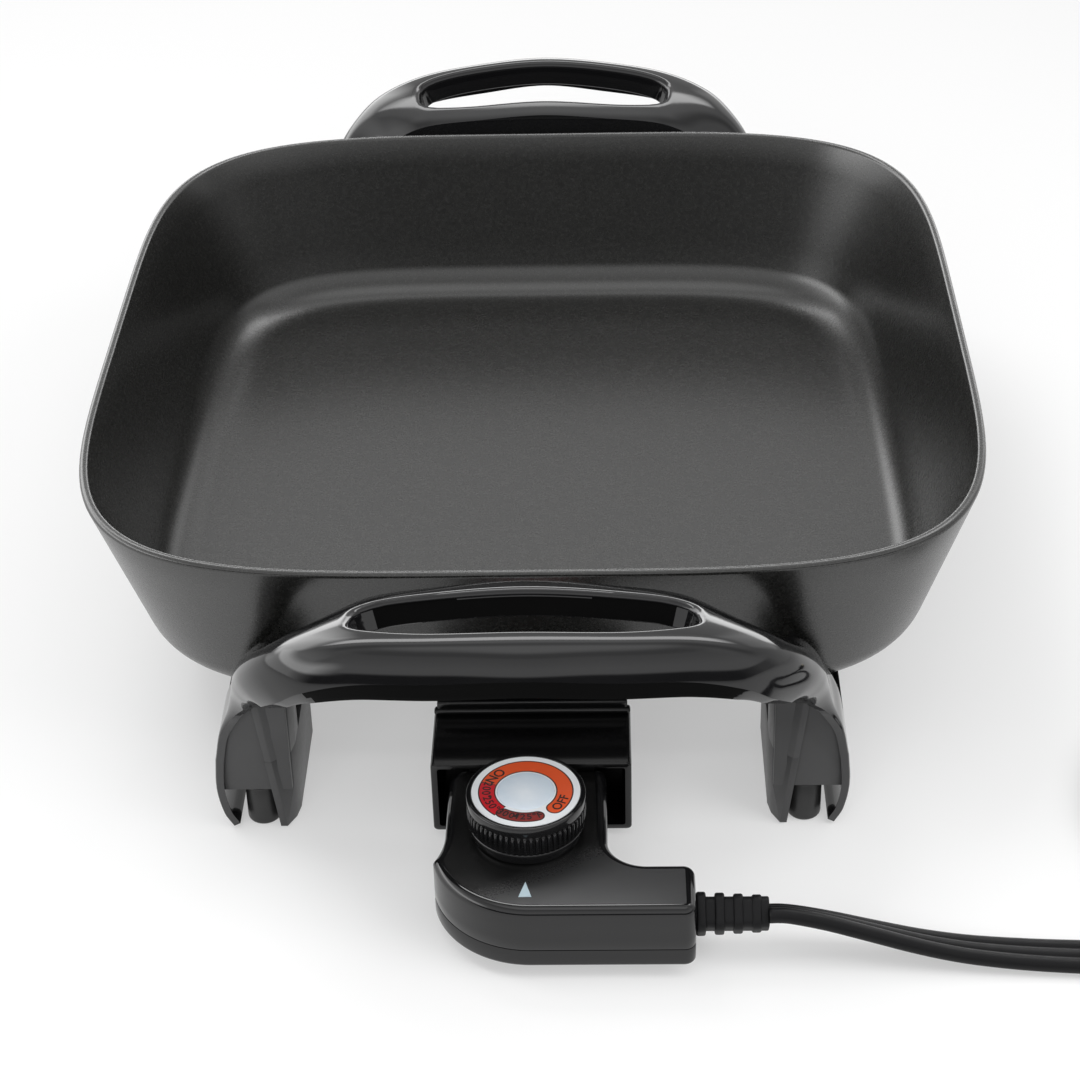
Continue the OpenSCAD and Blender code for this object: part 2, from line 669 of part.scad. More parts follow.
// Tube under the pan that the probe of the control slides into, on a saddle
module probe_tube() {
    r_in = probe_d / 2 + probe_gap;
    r_out = r_in + probe_tube_t;
    color("#b5b5b0") translate([0, y_shift, 0]) difference() {
        union() {
            translate([0, -tube_front, pin_h]) rotate([-90, 0, 0])
                cylinder(r = r_out, h = tube_front - tube_back, $fn = 64);
            translate([-saddle_w / 2, -tube_back - saddle_l - 4, pin_h])
                cube([saddle_w, saddle_l, floor_low - 0.05 - pin_h]);
        }
        translate([0, -tube_front - 1, pin_h]) rotate([-90, 0, 0])
            cylinder(r = r_in, h = tube_front - tube_back - 1, $fn = 64);
    }
}

// Box round the pins, open to the front, with a bead across the back of its roof and a
// tongue under the pan
module terminal_guard() {
    color("#0d0d0d") translate([0, y_shift, 0]) difference() {
        union() {
            translate([-guard_w / 2, -guard_front, guard_low])
                cube([guard_w, guard_deep, guard_top - guard_low]);
            translate([-guard_w / 2 + 1, -guard_back - 2.4, guard_top - fuse])
                cube([guard_w - 2, 2.4, back_rise]);
            translate([-guard_w / 2, -guard_back - 3.2, guard_top - fuse]) cube([guard_w, 3.2, 1.6 + fuse]);
            translate([-tongue_w / 2, -guard_back - fuse, floor_low - 0.6 - tongue_t])
                cube([tongue_w, guard_back - tongue_back, tongue_t]);
        }
        translate([-guard_w / 2 + guard_t, -guard_front - 1, guard_low + guard_t])
            cube([guard_w - 2 * guard_t, guard_deep + 1 - guard_t, guard_top - guard_low - 2 * guard_t]);
        for (s = [-1, 1]) {
            translate([s * pin_gap / 2, -guard_back + 1, pin_h]) rotate([90, 0, 0])
                cylinder(d = collar_d + 2 * clear, h = guard_t + 2, $fn = 48);
            translate([s * guard_screw_x, -guard_screw_y, 0]) cylinder(d = guard_screw_d + 0.4, h = 60, $fn = 32);
        }
        translate([0, -guard_back + 1, pin_h]) rotate([90, 0, 0])
            cylinder(r = probe_d / 2 + probe_gap + probe_tube_t + clear, h = guard_t + 2, $fn = 48);
    }
}

module guard_screws() {
    color("#b8b8b8") translate([0, y_shift, 0]) for (s = [-1, 1])
        translate([s * guard_screw_x, -guard_screw_y, floor_low - 0.6 - tongue_t]) union() {
            translate([0, 0, -1.8]) cylinder(d = 2 * guard_screw_d, h = 1.8, $fn = 32);
            translate([0, 0, -fuse]) cylinder(d = guard_screw_d, h = tongue_t + fuse + 0.5, $fn = 32);
        }
}

// ---------- temperature control ----------

// An arc as points: centre, radius, first and last angle, number of steps
function arc(x, y, r, a0, a1, n) =
    [for (i = [0 : n]) let (a = a0 + (a1 - a0) * i / n) [x + r * cos(a), y + r * sin(a)]];

// Where the round front corner meets the flare of the neck, for an outline drawn in by d
function meet(r, other) = acos((r * r + centre_span * centre_span - other * other)
    / (2 * r * centre_span));
function corner_angle(d) = 180 - centre_lean + meet(body_r - d, flare_r + d);
function flare_angle(d) = -centre_lean - meet(flare_r + d, body_r - d);

// Outline of the housing seen from above, drawn in by a distance d
function control_outline(d) = concat(
    // neck, rear left to rear right
    [[neck_left + d, -neck_back], [neck_left + 2.6 + d, -neck_back + 8 - d],
     [neck_right - 1.2 - d, -neck_back + 8 - d], [neck_right - d, -neck_back]],
    // hollow corner between the neck and the arm, then the end of the arm
    arc(neck_right + fillet_r, -arm_back + fillet_r, fillet_r + d, 180, 270, 8),
    arc(arm_reach - arm_r, -arm_back - arm_r, arm_r - d, 90, 0, 4),
    arc(arm_reach - arm_r, -control_front + arm_r, arm_r - d, 0, -90, 4),
    // big round front corner, then the flare back to the neck
    arc(body_x, -body_y, body_r - d, 270, corner_angle(d), 14),
    arc(flare_x, -neck_y, flare_r + d, flare_angle(d) + 1, 0, 5));

function control_ring(d, z) = [for (p = control_outline(d)) [p[0], p[1], z]];
round_steps = 5;

// Rings of the two housings: the upper one from its ceiling over the joint to its top,
// the lower one from its underside over the joint to its floor
function upper_rings() = concat(
    [control_ring(control_t, control_top - control_t), control_ring(control_t, seam_h),
     control_ring(0, seam_h)],
    [for (i = [0 : round_steps]) let (a = i * 90 / round_steps)
        control_ring(control_r * (1 - cos(a)), control_top - control_r * (1 - sin(a)))]);
function lower_rings() = concat(
    [for (i = [0 : round_steps]) let (a = i * 90 / round_steps)
        control_ring(bottom_r * (1 - sin(a)), control_low + bottom_r * (1 - cos(a)))],
    [control_ring(0, seam_h - 0.1), control_ring(control_t, seam_h - 0.1),
     control_ring(control_t, control_low + control_t)]);

// The outline runs clockwise, so its rings are taken in reverse
module housing(rings) {
    loft([for (i = [len(rings) - 1 : -1 : 0]) rings[i]]);
}

module nose_window() {
    translate([nose_left - clear, -neck_back - 4, nose_low - clear])
        cube([nose_right - nose_left + 2 * clear, 20, nose_high - nose_low + 2 * clear]);
}

module relief_window() {
    translate([arm_reach - control_t - 1, -arm_mid, cord_z]) rotate([0, 90, 0])
        cylinder(d = relief_neck + 2 * clear, h = 6, $fn = 48);
}

module upper_housing() {
    color("#0e0e0e") translate([0, y_shift, 0]) difference() {
        union() {
            housing(upper_rings());
            for (p = boss_at) translate([p[0], p[1], seam_h])
                cylinder(d = boss_d, h = control_top - control_t - seam_h + fuse, $fn = 48);
        }
        for (p = boss_at) translate([p[0], p[1], seam_h - 1])
            cylinder(d = case_screw_d + 0.1, h = 8, $fn = 32);
        nose_window();
        relief_window();
        translate([dial_x, -dial_y, control_top - control_t - 1])
            cylinder(d = shaft_d + 2 * clear, h = control_t + 2, $fn = 48);
    }
}

module lower_housing() {
    color("#0e0e0e") translate([0, y_shift, 0]) difference() {
        union() {
            housing(lower_rings());
            for (p = boss_at) translate([p[0], p[1], control_low + control_t - fuse])
                cylinder(d = boss_d, h = seam_h - 0.1 - control_low - control_t + fuse, $fn = 48);
        }
        nose_window();
        for (p = boss_at) translate([p[0], p[1], control_low - 1]) {
            cylinder(d = case_screw_d + 0.4, h = 20, $fn = 32);
            cylinder(d = 2 * case_screw_d + 0.6, h = 2.6, $fn = 32);
        }
    }
}

module housing_screws() {
    color("#a8a8a8") translate([0, y_shift, 0]) for (p = boss_at)
        translate([p[0], p[1], control_low + 1.6 - head_h]) union() {
            cylinder(d = 2 * case_screw_d, h = head_h, $fn = 32);
            cylinder(d = case_screw_d, h = 8, $fn = 32);
        }
}

// Insulating nose with the sockets for the pins and the hole for the probe
module nose_block() {
    color("#191919") translate([0, y_shift, 0]) difference() {
        translate([nose_left, -neck_back - 4, nose_low])
            cube([nose_right - nose_left, neck_back + 4 - nose_back, nose_high - nose_low]);
        for (s = [-1, 1]) translate([s * pin_gap / 2, -nose_back + 1, pin_h]) rotate([90, 0, 0])
            cylinder(d = pin_d + 2 * socket_gap, h = 16, $fn = 48);
        translate([0, -nose_back + 1, pin_h]) rotate([90, 0, 0])
            cylinder(d = probe_d + 0.1, h = 24, $fn = 48);
        for (s = [-1, 1]) translate([s * pin_gap / 2, -nose_back - 15 + 1, pin_h]) rotate([90, 0, 0])
            cylinder(d = clip_d + 2 * clear, h = 10, $fn = 48);
    }
}

// Sprung brass sleeves behind the sockets
module socket_clips() {
    color("#c8a24a") translate([0, y_shift, 0]) for (s = [-1, 1])
        translate([s * pin_gap / 2, -nose_back - 14 - clear, pin_h]) rotate([90, 0, 0]) difference() {
            cylinder(d = clip_d, h = 6, $fn = 48);
            translate([0, 0, -1]) cylinder(d = pin_d + 2 * socket_gap, h = 8, $fn = 48);
        }
}

module probe() {
    color("#bdbdb8") translate([0, y_shift, 0]) union() {
        translate([0, -probe_end - probe_d / 2, pin_h]) rotate([90, 0, 0])
            cylinder(d = probe_d, h = neck_back + 8 - probe_end - probe_d / 2, $fn = 64);
        translate([0, -probe_end - probe_d / 2, pin_h]) sphere(d = probe_d, $fn = 48);
    }
}

// Bracket behind the probe that carries the blades and the nut of the adjusting shaft
module thermostat_frame() {
    color("#9c9c9a") translate([0, y_shift, 0]) difference() {
        union() {
            translate([-frame_w / 2, -frame_front, frame_z]) cube([frame_w, frame_front - frame_back, frame_t]);
            translate([-frame_w / 2, -frame_back - frame_t, frame_low]) cube([frame_w, frame_t, frame_z - frame_low + fuse]);
        }
        translate([0, -frame_back + 1, pin_h]) rotate([90, 0, 0]) cylinder(d = probe_d + 0.1, h = 8, $fn = 48);
        translate([dial_x, -dial_y, frame_z - 1]) cylinder(d = shaft_thin + 0.1, h = 6, $fn = 48);
    }
}

module blade(z, length) {
    translate([blade_x, -blade_front, z]) cube([blade_w, length, blade_t]);
}

module bimetal_blade() {
    color("#a9a39a") translate([0, y_shift, 0]) blade(frame_low + 2, 26);
}

module contact_blade() {
    color("#c8a24a") translate([0, y_shift, 0]) union() {
        blade(frame_low + 5, 26);
        translate([blade_x + blade_w / 2, -blade_front + 3, frame_low + 5 - 1.5]) cylinder(d = 3, h = 2, $fn = 32);
    }
}

// Neon lamp in its sleeve beside the shaft: its light reaches the lens through the knob
module signal_lamp() {
    color("#e8b9a0") translate([0, y_shift, 0]) translate([lamp_x, -dial_y, lamp_z]) rotate([90, 0, 0]) union() {
        cylinder(d = lamp_d, h = lamp_len, center = true, $fn = 32);
        translate([0, 0, lamp_len / 2]) sphere(d = lamp_d, $fn = 32);
    }
}

// ---------- dial ----------

module adjusting_shaft() {
    color("#c0bcae") translate([dial_x, y_shift - dial_y, 0]) union() {
        translate([0, 0, frame_z + frame_t + 0.6]) cylinder(d = shaft_d, h = dial_top - 4.65 - frame_z - frame_t, $fn = 48);
        translate([0, 0, shaft_low]) cylinder(d = shaft_thin, h = frame_z + frame_t + 1 - shaft_low, $fn = 48);
    }
}

// Outline of the ridged skirt: raised and sunk flats by turns
function ridge_outline(r, deep, n) = [for (i = [0 : n - 1], s = [0 : 3])
    let (a = (i + [0.1, 0.4, 0.55, 0.95][s]) * 360 / n, q = s < 2 ? r : r - deep) [q * cos(a), q * sin(a)]];

module dial_knob() {
    base = control_top + clear;
    color("#0c0c0c") translate([dial_x, y_shift - dial_y, 0]) difference() {
        union() {
            translate([0, 0, base]) cylinder(d = dial_d - 3.4, h = 1.2, $fn = 96);
            translate([0, 0, base + 1.2]) cylinder(d = dial_d - 1.2, h = dial_base - 1.2, $fn = 96);
            translate([0, 0, base + dial_base]) linear_extrude(ridge_h)
                polygon(ridge_outline(dial_d / 2, ridge_deep, ridges));
            translate([0, 0, base + dial_base + ridge_h])
                cylinder(d1 = dial_d - 0.6, d2 = dial_d - 1.6, h = dial_top - base - dial_base - ridge_h, $fn = 96);
        }
        translate([0, 0, base - 1]) cylinder(d = shaft_d + 0.04, h = dial_top - 4 - base + 1, $fn = 48);
        translate([0, 0, dial_top - label_sink]) cylinder(d = label_d + 0.4, h = 2, $fn = 96);
    }
}

module dial_label() {
    color("white") translate([dial_x, y_shift - dial_y, dial_top - label_sink]) difference() {
        cylinder(d = label_d, h = label_t, $fn = 96);
        translate([0, 0, -1]) cylinder(d = lens_d + 0.1, h = 3, $fn = 64);
    }
}

module signal_lens() {
    color("#dfe9f2") translate([dial_x, y_shift - dial_y, dial_top - label_sink]) cylinder(d = lens_d, h = label_t + 0.1, $fn = 64);
}

// Small triangle on the housing that the dial is read against
module pointer_mark() {
    color("#b9c4cc") translate([0, y_shift, 0]) translate([0, 0, control_top]) linear_extrude(0.15)
        polygon([[dial_x, -pointer_tip], [dial_x - pointer_w / 2, -pointer_base], [dial_x + pointer_w / 2, -pointer_base]]);
}

// ---------- cord ----------

module rounded_slab(w, h, r, t) {
    linear_extrude(t) polygon(concat(arc(w / 2 - r, h / 2 - r, r, 0, 90, 4),
        arc(-w / 2 + r, h / 2 - r, r, 90, 180, 4), arc(-w / 2 + r, -h / 2 + r, r, 180, 270, 4),
        arc(w / 2 - r, -h / 2 + r, r, 270, 360, 4)));
}

// Moulded strain relief: a tapered core with four ribs
module strain_relief() {
    color("#161616") translate([arm_reach, y_shift - arm_mid, cord_z]) rotate([90, 0, 90]) union() {
        translate([0, 0, -control_t - 1]) cylinder(d = relief_neck, h = control_t + 1 + fuse, $fn = 48);
        rotate([0, 0, relief_turn]) {
            rounded_slab(relief_w - 3, relief_t - 2.4, 2, relief_len);
            for (i = [0 : rib_count - 1]) translate([0, 0, 0.05 + i * rib_pitch])
                rounded_slab(relief_w - i * rib_taper, relief_t - i * rib_taper, 3, i == 0 ? rib_first : rib_t);
        }
    }
}

// Section of the flat cord as n points, as wide and as thick as the cord
function cord_section(n) = [for (i = [0 : n - 1]) let (a = (i + 0.5) * 360 / n, c = cos(180 / n))
    [cord_w / 2 * sign(cos(a)) * pow(max(0, abs(cos(a)) / c - 0.0001), 0.7),
     cord_t / 2 * sin(a) / (n % 4 == 0 ? c : 1)]];

module cord() {
    color("#1a1a1a") translate([0, y_shift, 0])
        loft([for (i = [0 : len(route) - 1]) ring_on(route, i, -route_turn[i], cord_section(tube_sides))]);
}

module cord_end() {
    color("#1a1a1a") translate([0, y_shift, 0])
        loft([for (i = [0 : len(end_route) - 1]) ring_on(end_route, i, 0, cord_section(tube_sides))]);
}

// Point k of the coil, which winds upwards
function coil_point(k) = let (s = k / loop_rings, a = -90 + 360 * s)
    [coil_x + coil_r * cos(a), coil_y + coil_r * sin(a), cord_rest + coil_rise * s];
coil_path = concat(
    [for (k = [0, 0.5]) [coil_x - coil_lead * (1 - k), route_y, cord_rest]],
    [for (k = [0 : loop_rings * coil_turns]) coil_point(k)],
    [for (k = [0.5, 1]) [coil_end_x, coil_y + coil_lead * k, coil_end_z]]);

module cord_coil() {
    color("#1a1a1a") translate([0, y_shift, 0])
        loft([for (i = [0 : len(coil_path) - 1]) ring_on(coil_path, i, 0, cord_section(loop_sides))]);
}

// Least gap between the turns, between points one turn apart, and the cord's whole length
coil_gap = min([for (i = [2 : len(coil_path) - 3 - loop_rings])
    norm(coil_path[i] - coil_path[i + loop_rings]) - cord_t]);
function path_length(p, i = 1) = i >= len(p) ? 0 : norm(p[i] - p[i - 1]) + path_length(p, i + 1);
echo(coil_gap = coil_gap, cord_length = relief_len + path_length(route) + path_length(coil_path)
    + path_length(end_route));

// Strap round the two turns that lie on one another
module coil_tie() {
    low = cord_rest + coil_rise * (tie_angle + 90) / 360 - cord_t / 2 - clear;
    high = cord_t + coil_rise + 2 * clear;
    w = cord_w + 4 * clear;
    color("#222222") translate([coil_x, y_shift + coil_y, low]) rotate([0, 0, tie_angle])
        translate([coil_r, 0, 0]) difference() {
            translate([-w / 2 - tie_t, -tie_w / 2, -tie_t]) cube([w + 2 * tie_t, tie_w, high + 2 * tie_t]);
            translate([-w / 2, -tie_w / 2 - 1, 0]) cube([w, tie_w + 2, high]);
        }
}

// Three-pin plug
module plug_body() {
    color("#161616") translate([coil_end_x, y_shift + plug_start, plug_z]) rotate([-90, 0, 0]) union() {
        translate([0, 0, 0.05]) rounded_slab(relief_w, relief_t, 3, plug_relief);
        translate([0, 0, plug_relief - fuse]) rounded_slab(plug_w, plug_t, 5, plug_len);
    }
}

module plug_blades() {
    face = plug_start + plug_relief - fuse + plug_len;
    color("#c9c5b8") translate([coil_end_x, y_shift + face, plug_z]) union() {
        for (s = [-1, 1]) translate([s * 6.35 - 0.75, 0.02, -4.6]) cube([1.5, 16, 6.3]);
        translate([0, 0.02, 4.6]) rotate([-90, 0, 0]) cylinder(d = 4.8, h = 18, $fn = 32);
    }
}

pan();
heating_element();
element_clips();
terminal_pins();
pin_insulators();
probe_tube();
terminal_guard();
guard_screws();
front_handle();
rear_handle();
handle_studs();
handle_nuts();
feet();
upper_housing();
lower_housing();
housing_screws();
nose_block();
socket_clips();
probe();
thermostat_frame();
bimetal_blade();
contact_blade();
signal_lamp();
adjusting_shaft();
dial_knob();
dial_label();
signal_lens();
pointer_mark();
strain_relief();
cord();
cord_coil();
cord_end();
coil_tie();
plug_body();
plug_blades();
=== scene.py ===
"""Looks of an electric skillet: a coated pan, moulded handles that are also its legs, a plug-in
temperature control with a dial, and a short flat cord. Sizes are in millimetres from the middle
of the pan; mm() puts them in the row's frame in metres."""
import math

import bmesh
import bpy
from mathutils import Matrix, Vector


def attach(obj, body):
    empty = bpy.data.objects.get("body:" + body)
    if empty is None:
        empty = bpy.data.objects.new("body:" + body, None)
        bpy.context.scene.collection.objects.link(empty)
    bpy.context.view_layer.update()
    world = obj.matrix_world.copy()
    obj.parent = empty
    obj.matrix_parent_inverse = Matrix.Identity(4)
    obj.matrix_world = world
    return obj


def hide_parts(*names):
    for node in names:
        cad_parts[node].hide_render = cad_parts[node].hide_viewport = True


bl_info = {
    "name": "Electric skillet",
    "version": (1, 0, 0),
    "blender": (4, 5, 0),
    "location": "3D View > Sidebar > Skillet",
    "description": "Builds the looks of an electric skillet with a plug-in control",
    "category": "Object",
}

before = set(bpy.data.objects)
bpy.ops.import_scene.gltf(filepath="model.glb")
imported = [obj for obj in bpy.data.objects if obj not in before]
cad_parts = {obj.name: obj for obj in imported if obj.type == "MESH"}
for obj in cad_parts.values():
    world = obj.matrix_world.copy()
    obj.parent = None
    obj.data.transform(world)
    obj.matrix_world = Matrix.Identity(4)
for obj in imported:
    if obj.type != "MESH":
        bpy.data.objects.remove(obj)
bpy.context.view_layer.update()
# millimetres from the middle of the pan to the row's origin, and the dial's axis
SHIFT = 10.1
DIAL = (-0.6, -199.5)
MADE = {}


def mm(x, y, z):
    """A point in millimetres from the middle of the pan, as metres in the row's frame."""
    return (x / 1000, (y + SHIFT) / 1000, z / 1000)


# ---------------------------------------------------------------- settings

def colour_of(name, about, default):
    return bpy.props.FloatVectorProperty(name=name, description=about, subtype="COLOR",
                                         size=3, min=0, max=1, default=default)


def roughness_of(name, about, default):
    return bpy.props.FloatProperty(name=name, description=about, subtype="FACTOR",
                                   min=0, max=1, default=default)


class SkilletSettings(bpy.types.PropertyGroup):
    """Colours and finishes of the skillet."""
    pan_colour: colour_of("Pan coat", "Colour of the non-stick coat", (0.0085, 0.0085, 0.0078))
    speckle_colour: colour_of("Pan speckle", "Colour of the fine speckle in the coat",
                              (0.030, 0.030, 0.028))
    pan_roughness: roughness_of("Pan roughness", "Roughness of the coat", 0.27)
    moulding_colour: colour_of("Moulding", "Colour of the handles, guard and control",
                               (0.006, 0.006, 0.0065))
    moulding_roughness: roughness_of("Moulding roughness", "Roughness of the glossy mouldings",
                                     0.085)
    orange: colour_of("Label orange", "Band from OFF to ON", (0.66, 0.085, 0.022))
    red: colour_of("Label red", "Band of the low temperatures", (0.50, 0.010, 0.018))
    brown: colour_of("Label brown", "Band of the high temperatures", (0.20, 0.020, 0.016))
    ridges: bpy.props.IntProperty(
        name="Dial ridges", description="Number of ridges round the dial", min=24, max=90,
        default=60)
    rib_count: bpy.props.IntProperty(
        name="Relief ribs", description="Ribs of the cord's strain relief", min=3, max=6,
        default=4)


def settings():
    return bpy.context.scene.skillet


# ---------------------------------------------------------------- shader maths

class Wire:
    """A value in a material's node tree: +, -, * and / on it add Math nodes."""

    def __init__(self, tree, socket):
        self.tree, self.socket = tree, socket

    def maths(self, how, *others):
        return self.tree.add("ShaderNodeMath", {"operation": how},
                             dict(enumerate((self,) + others)))

    def __add__(self, o):
        return self.maths("ADD", o)

    __radd__ = __add__

    def __sub__(self, o):
        return self.maths("SUBTRACT", o)

    def __rsub__(self, o):
        return self.maths("MULTIPLY", -1.0).maths("ADD", o)

    def __mul__(self, o):
        return self.maths("MULTIPLY", o)

    __rmul__ = __mul__

    def __truediv__(self, o):
        return self.maths("DIVIDE", o)

    def __rtruediv__(self, o):
        return self.maths("POWER", -1.0).maths("MULTIPLY", o)

    def above(self, edge, soft):
        """0 below edge and 1 above it, over a soft step."""
        return ((self - edge) / soft + 0.5).maths("MINIMUM", 1.0).maths("MAXIMUM", 0.0)

    def below(self, edge, soft):
        return 1.0 - self.above(edge, soft)


class Finish:
    """A material and the one way in which its nodes are made."""

    def __init__(self, name, **constants):
        self.material = bpy.data.materials.new(name)
        self.material.use_nodes = True
        self.tree = self.material.node_tree
        self.shader = self.tree.nodes["Principled BSDF"]
        for socket, value in constants.items():
            self.shader.inputs[socket.replace("_", " ")].default_value = value

    def add(self, kind, made_with=None, inputs=None, out=0):
        node = self.tree.nodes.new(kind)
        for key, value in (made_with or {}).items():
            setattr(node, key, value)
        for key, value in (inputs or {}).items():
            if isinstance(value, Wire):
                self.tree.links.new(value.socket, node.inputs[key])
            else:
                node.inputs[key].default_value = value
        return Wire(self, node.outputs[out])

    def place(self, centre=(0, 0, 0), scale=(1, 1, 1)):
        """Object coordinates, centred on a point of the piece and scaled."""
        spot = self.add("ShaderNodeTexCoord", out=3)
        moved = self.add("ShaderNodeVectorMath", {"operation": "SUBTRACT"}, {0: spot, 1: centre})
        return self.add("ShaderNodeMapping", {}, {0: moved, 3: scale})

    def axes(self, vector):
        return [self.add("ShaderNodeSeparateXYZ", {}, {0: vector}, out=k) for k in range(3)]

    def from_dial(self):
        """Millimetres to the right of the dial's axis and behind it."""
        return self.axes(self.place(mm(*DIAL, 0), scale=(1000, 1000, 1000)))[:2]

    def rays(self):
        """1 for camera rays, for mirrored rays and for rays through glass, in this order."""
        return [self.add("ShaderNodeLightPath", out=k)
                for k in ("Is Camera Ray", "Is Glossy Ray", "Is Transmission Ray")]

    def noise(self, vector, scale, detail=2.0, rough=0.5):
        return self.add("ShaderNodeTexNoise", {}, {"Vector": vector, "Scale": scale,
                                                   "Detail": detail, "Roughness": rough})

    def mix(self, factor, a, b):
        return self.add("ShaderNodeMix", {"data_type": "RGBA"},
                        {0: factor, 6: a if isinstance(a, Wire) else tuple(a) + (1.0,),
                         7: b if isinstance(b, Wire) else tuple(b) + (1.0,)}, out=2)

    def feed(self, socket, wire):
        self.tree.links.new(wire.socket, self.shader.inputs[socket])

    def bump(self, height, strength, distance):
        self.feed("Normal", self.add("ShaderNodeBump", {}, {"Height": height,
                                                            "Strength": strength,
                                                            "Distance": distance}))

    def spread(self, factor, colour, low, high):
        """Base colour between a darker and a lighter tone of one colour."""
        self.feed("Base Color", self.mix(factor, tuple(c * low for c in colour),
                                         tuple(c * high for c in colour)))


class Sky(Finish):
    """The world's nodes, made in the same way."""

    def __init__(self, world):
        self.tree = world.node_tree


def coated_pan(name):
    s = settings()
    f = Finish(name, Metallic=0.0, IOR=1.7)
    spot = f.place()
    fine = f.noise(spot, 1700, 1.0)
    grain = f.noise(spot, 620, 3.0, 0.65)
    broad = f.noise(spot, 9, 2.0)
    fleck = fine.above(0.60, 0.12) * grain.above(0.46, 0.2)
    base = f.mix(broad, tuple(c * 0.88 for c in s.pan_colour),
                 tuple(c * 1.1 for c in s.pan_colour))
    dark = f.mix(grain.below(0.44, 0.2) * 0.4, base, (0.003, 0.003, 0.0028))
    f.feed("Base Color", f.mix(fleck * 0.5, dark, tuple(s.speckle_colour)))
    f.feed("Roughness", grain * 0.08 + (s.pan_roughness - 0.04))
    f.bump(grain * 0.5 + fine * 0.5, 0.25, 0.00012)
    return f.material


def glossy_moulding(name, lift=1.0, rough=None):
    s = settings()
    rough = s.moulding_roughness if rough is None else rough
    f = Finish(name, IOR=1.5)
    spot = f.place()
    wave = f.noise(spot, 38, 2.0)
    dust = f.noise(spot, 900, 2.0)
    f.spread(wave, [c * lift for c in s.moulding_colour], 0.8, 1.25)
    f.feed("Roughness", wave * 0.03 + dust * 0.03 + (rough - 0.03))
    f.bump(wave, 0.06, 0.0004)
    return f.material


GRAIN_DEPTH = 0.00006


def dull_moulding(name, colour, rough, grain, depth=GRAIN_DEPTH, index=1.48):
    f = Finish(name, IOR=index)
    spot = f.place()
    tone = f.noise(spot, 60, 3.0)
    fine = f.noise(spot, grain, 2.0)
    f.spread(tone, colour, 0.82, 1.15)
    f.feed("Roughness", fine * 0.12 + (rough - 0.06))
    f.bump(fine, 0.3, depth)
    return f.material


def metal(name, colour, rough, stretch, tint=None):
    f = Finish(name, Metallic=1.0)
    spot = f.place(scale=stretch)
    brushed = f.noise(spot, 240, 3.0)
    stain = f.noise(f.place(), 26, 3.0)
    f.feed("Base Color", f.mix(stain.above(0.5, 0.5), colour,
                               tint or tuple(c * 0.78 for c in colour)))
    f.feed("Roughness", brushed * 0.16 + (rough - 0.08))
    f.bump(brushed, 0.12, 0.00003)
    return f.material


def white_ceramic(name):
    f = Finish(name, IOR=1.6)
    spot = f.place()
    f.feed("Base Color", f.mix(f.noise(spot, 90, 3.0), (0.80, 0.77, 0.70), (0.68, 0.65, 0.58)))
    f.feed("Roughness", f.noise(spot, 400, 2.0) * 0.2 + 0.4)
    f.bump(f.noise(spot, 1200, 2.0), 0.2, 0.00005)
    return f.material


def printed_label(name):
    """The temperature scale: a white disc with a ring band that is open at the lower right."""
    s = settings()
    f = Finish(name, IOR=1.5, Coat_Weight=0.4, Coat_Roughness=0.12)
    x, y = f.from_dial()
    radius = (x * x + y * y).maths("SQRT")
    turn = y.maths("ARCTAN2", x) * (180 / math.pi)
    # turn counted from the middle of the gap in the band, 0 to 360
    gap_at, about = 55, 0.4
    turn = (turn + (gap_at + 720)).maths("MODULO", 360.0)
    inner, outer, line, trim, soft = 9.3, 14.65, 0.42, 0.9, 0.10
    white, black = (0.78, 0.80, 0.82), (0.006, 0.005, 0.006)

    def spot(angle, r, size):
        a = math.radians(angle)
        dx, dy = x - r * math.cos(a), y - r * math.sin(a)
        return (dx * dx + dy * dy).maths("SQRT").below(size, soft)

    def patch(start, end, r0, r1, edge, caps):
        """A piece of the band with a round cap at the ends that are named."""
        shape = radius.above(r0 + edge, soft) * radius.below(r1 - edge, soft)
        shape = shape * turn.above((start + gap_at) % 360, about)
        shape = shape * turn.below((end + gap_at) % 360, about)
        for a in caps:
            shape = shape.maths("MAXIMUM", spot(a, (r0 + r1) / 2, (r1 - r0) / 2 - edge))
        return shape

    def run(start, end, r0, r1, edge, caps):
        """A patch that may pass the turn's zero."""
        if start < end:
            return patch(start, end, r0, r1, edge, caps)
        return patch(start, 359.99, r0, r1, edge, caps).maths(
            "MAXIMUM", patch(0.0, end, r0, r1, edge, ()))

    paint = f.mix(0.0, white, white)
    # orange from OFF round the top to ON, red, then the brown capsule
    for start, end, r0, r1, caps, colour in (
            (318.5, 162, inner, outer, (318.5,), s.orange), (162, 231, inner, outer, (), s.red),
            (237, 288, inner + 0.75, outer - 0.1, (237, 288), s.brown)):
        fill = run(start, end, r0, r1, line, caps)
        if not caps:
            fill = fill * turn.above(start + gap_at + trim, about)
        if len(caps) < 2:
            fill = fill * turn.below((end + gap_at) % 360 - trim, about)
        paint = f.mix(run(start, end, r0, r1, 0.0, caps), paint, black)
        paint = f.mix(fill, paint, tuple(colour))
    f.feed("Base Color", paint)
    f.feed("Roughness", f.noise(f.place(), 300, 2.0) * 0.08 + 0.30)
    f.bump(f.noise(f.place(), 160, 2.0), 0.05, 0.0001)
    return f.material


def control_deck(name):
    """The top of the control: black round the dial, and towards the arm of the cord a satin finish
    whose lighter colour is a painted sheen.
    """
    f = Finish(name, IOR=1.48)
    x, y = f.from_dial()
    # the satin mask also carries a painted sheen: the base colour turns lighter towards the arm of
    # the cord, while the higher roughness there is the satin finish
    satin_and_painted_sheen = (x * 0.6 - y).above(28, 20)
    fine = f.noise(f.place(), 1500, 2.0)
    f.feed("Base Color", f.mix(satin_and_painted_sheen, (0.006, 0.006, 0.006), (0.042, 0.042, 0.043)))
    f.feed("Roughness", fine * 0.12 + (satin_and_painted_sheen * 0.12 + 0.18))
    f.bump(fine, 0.3, 0.00004)
    return f.material


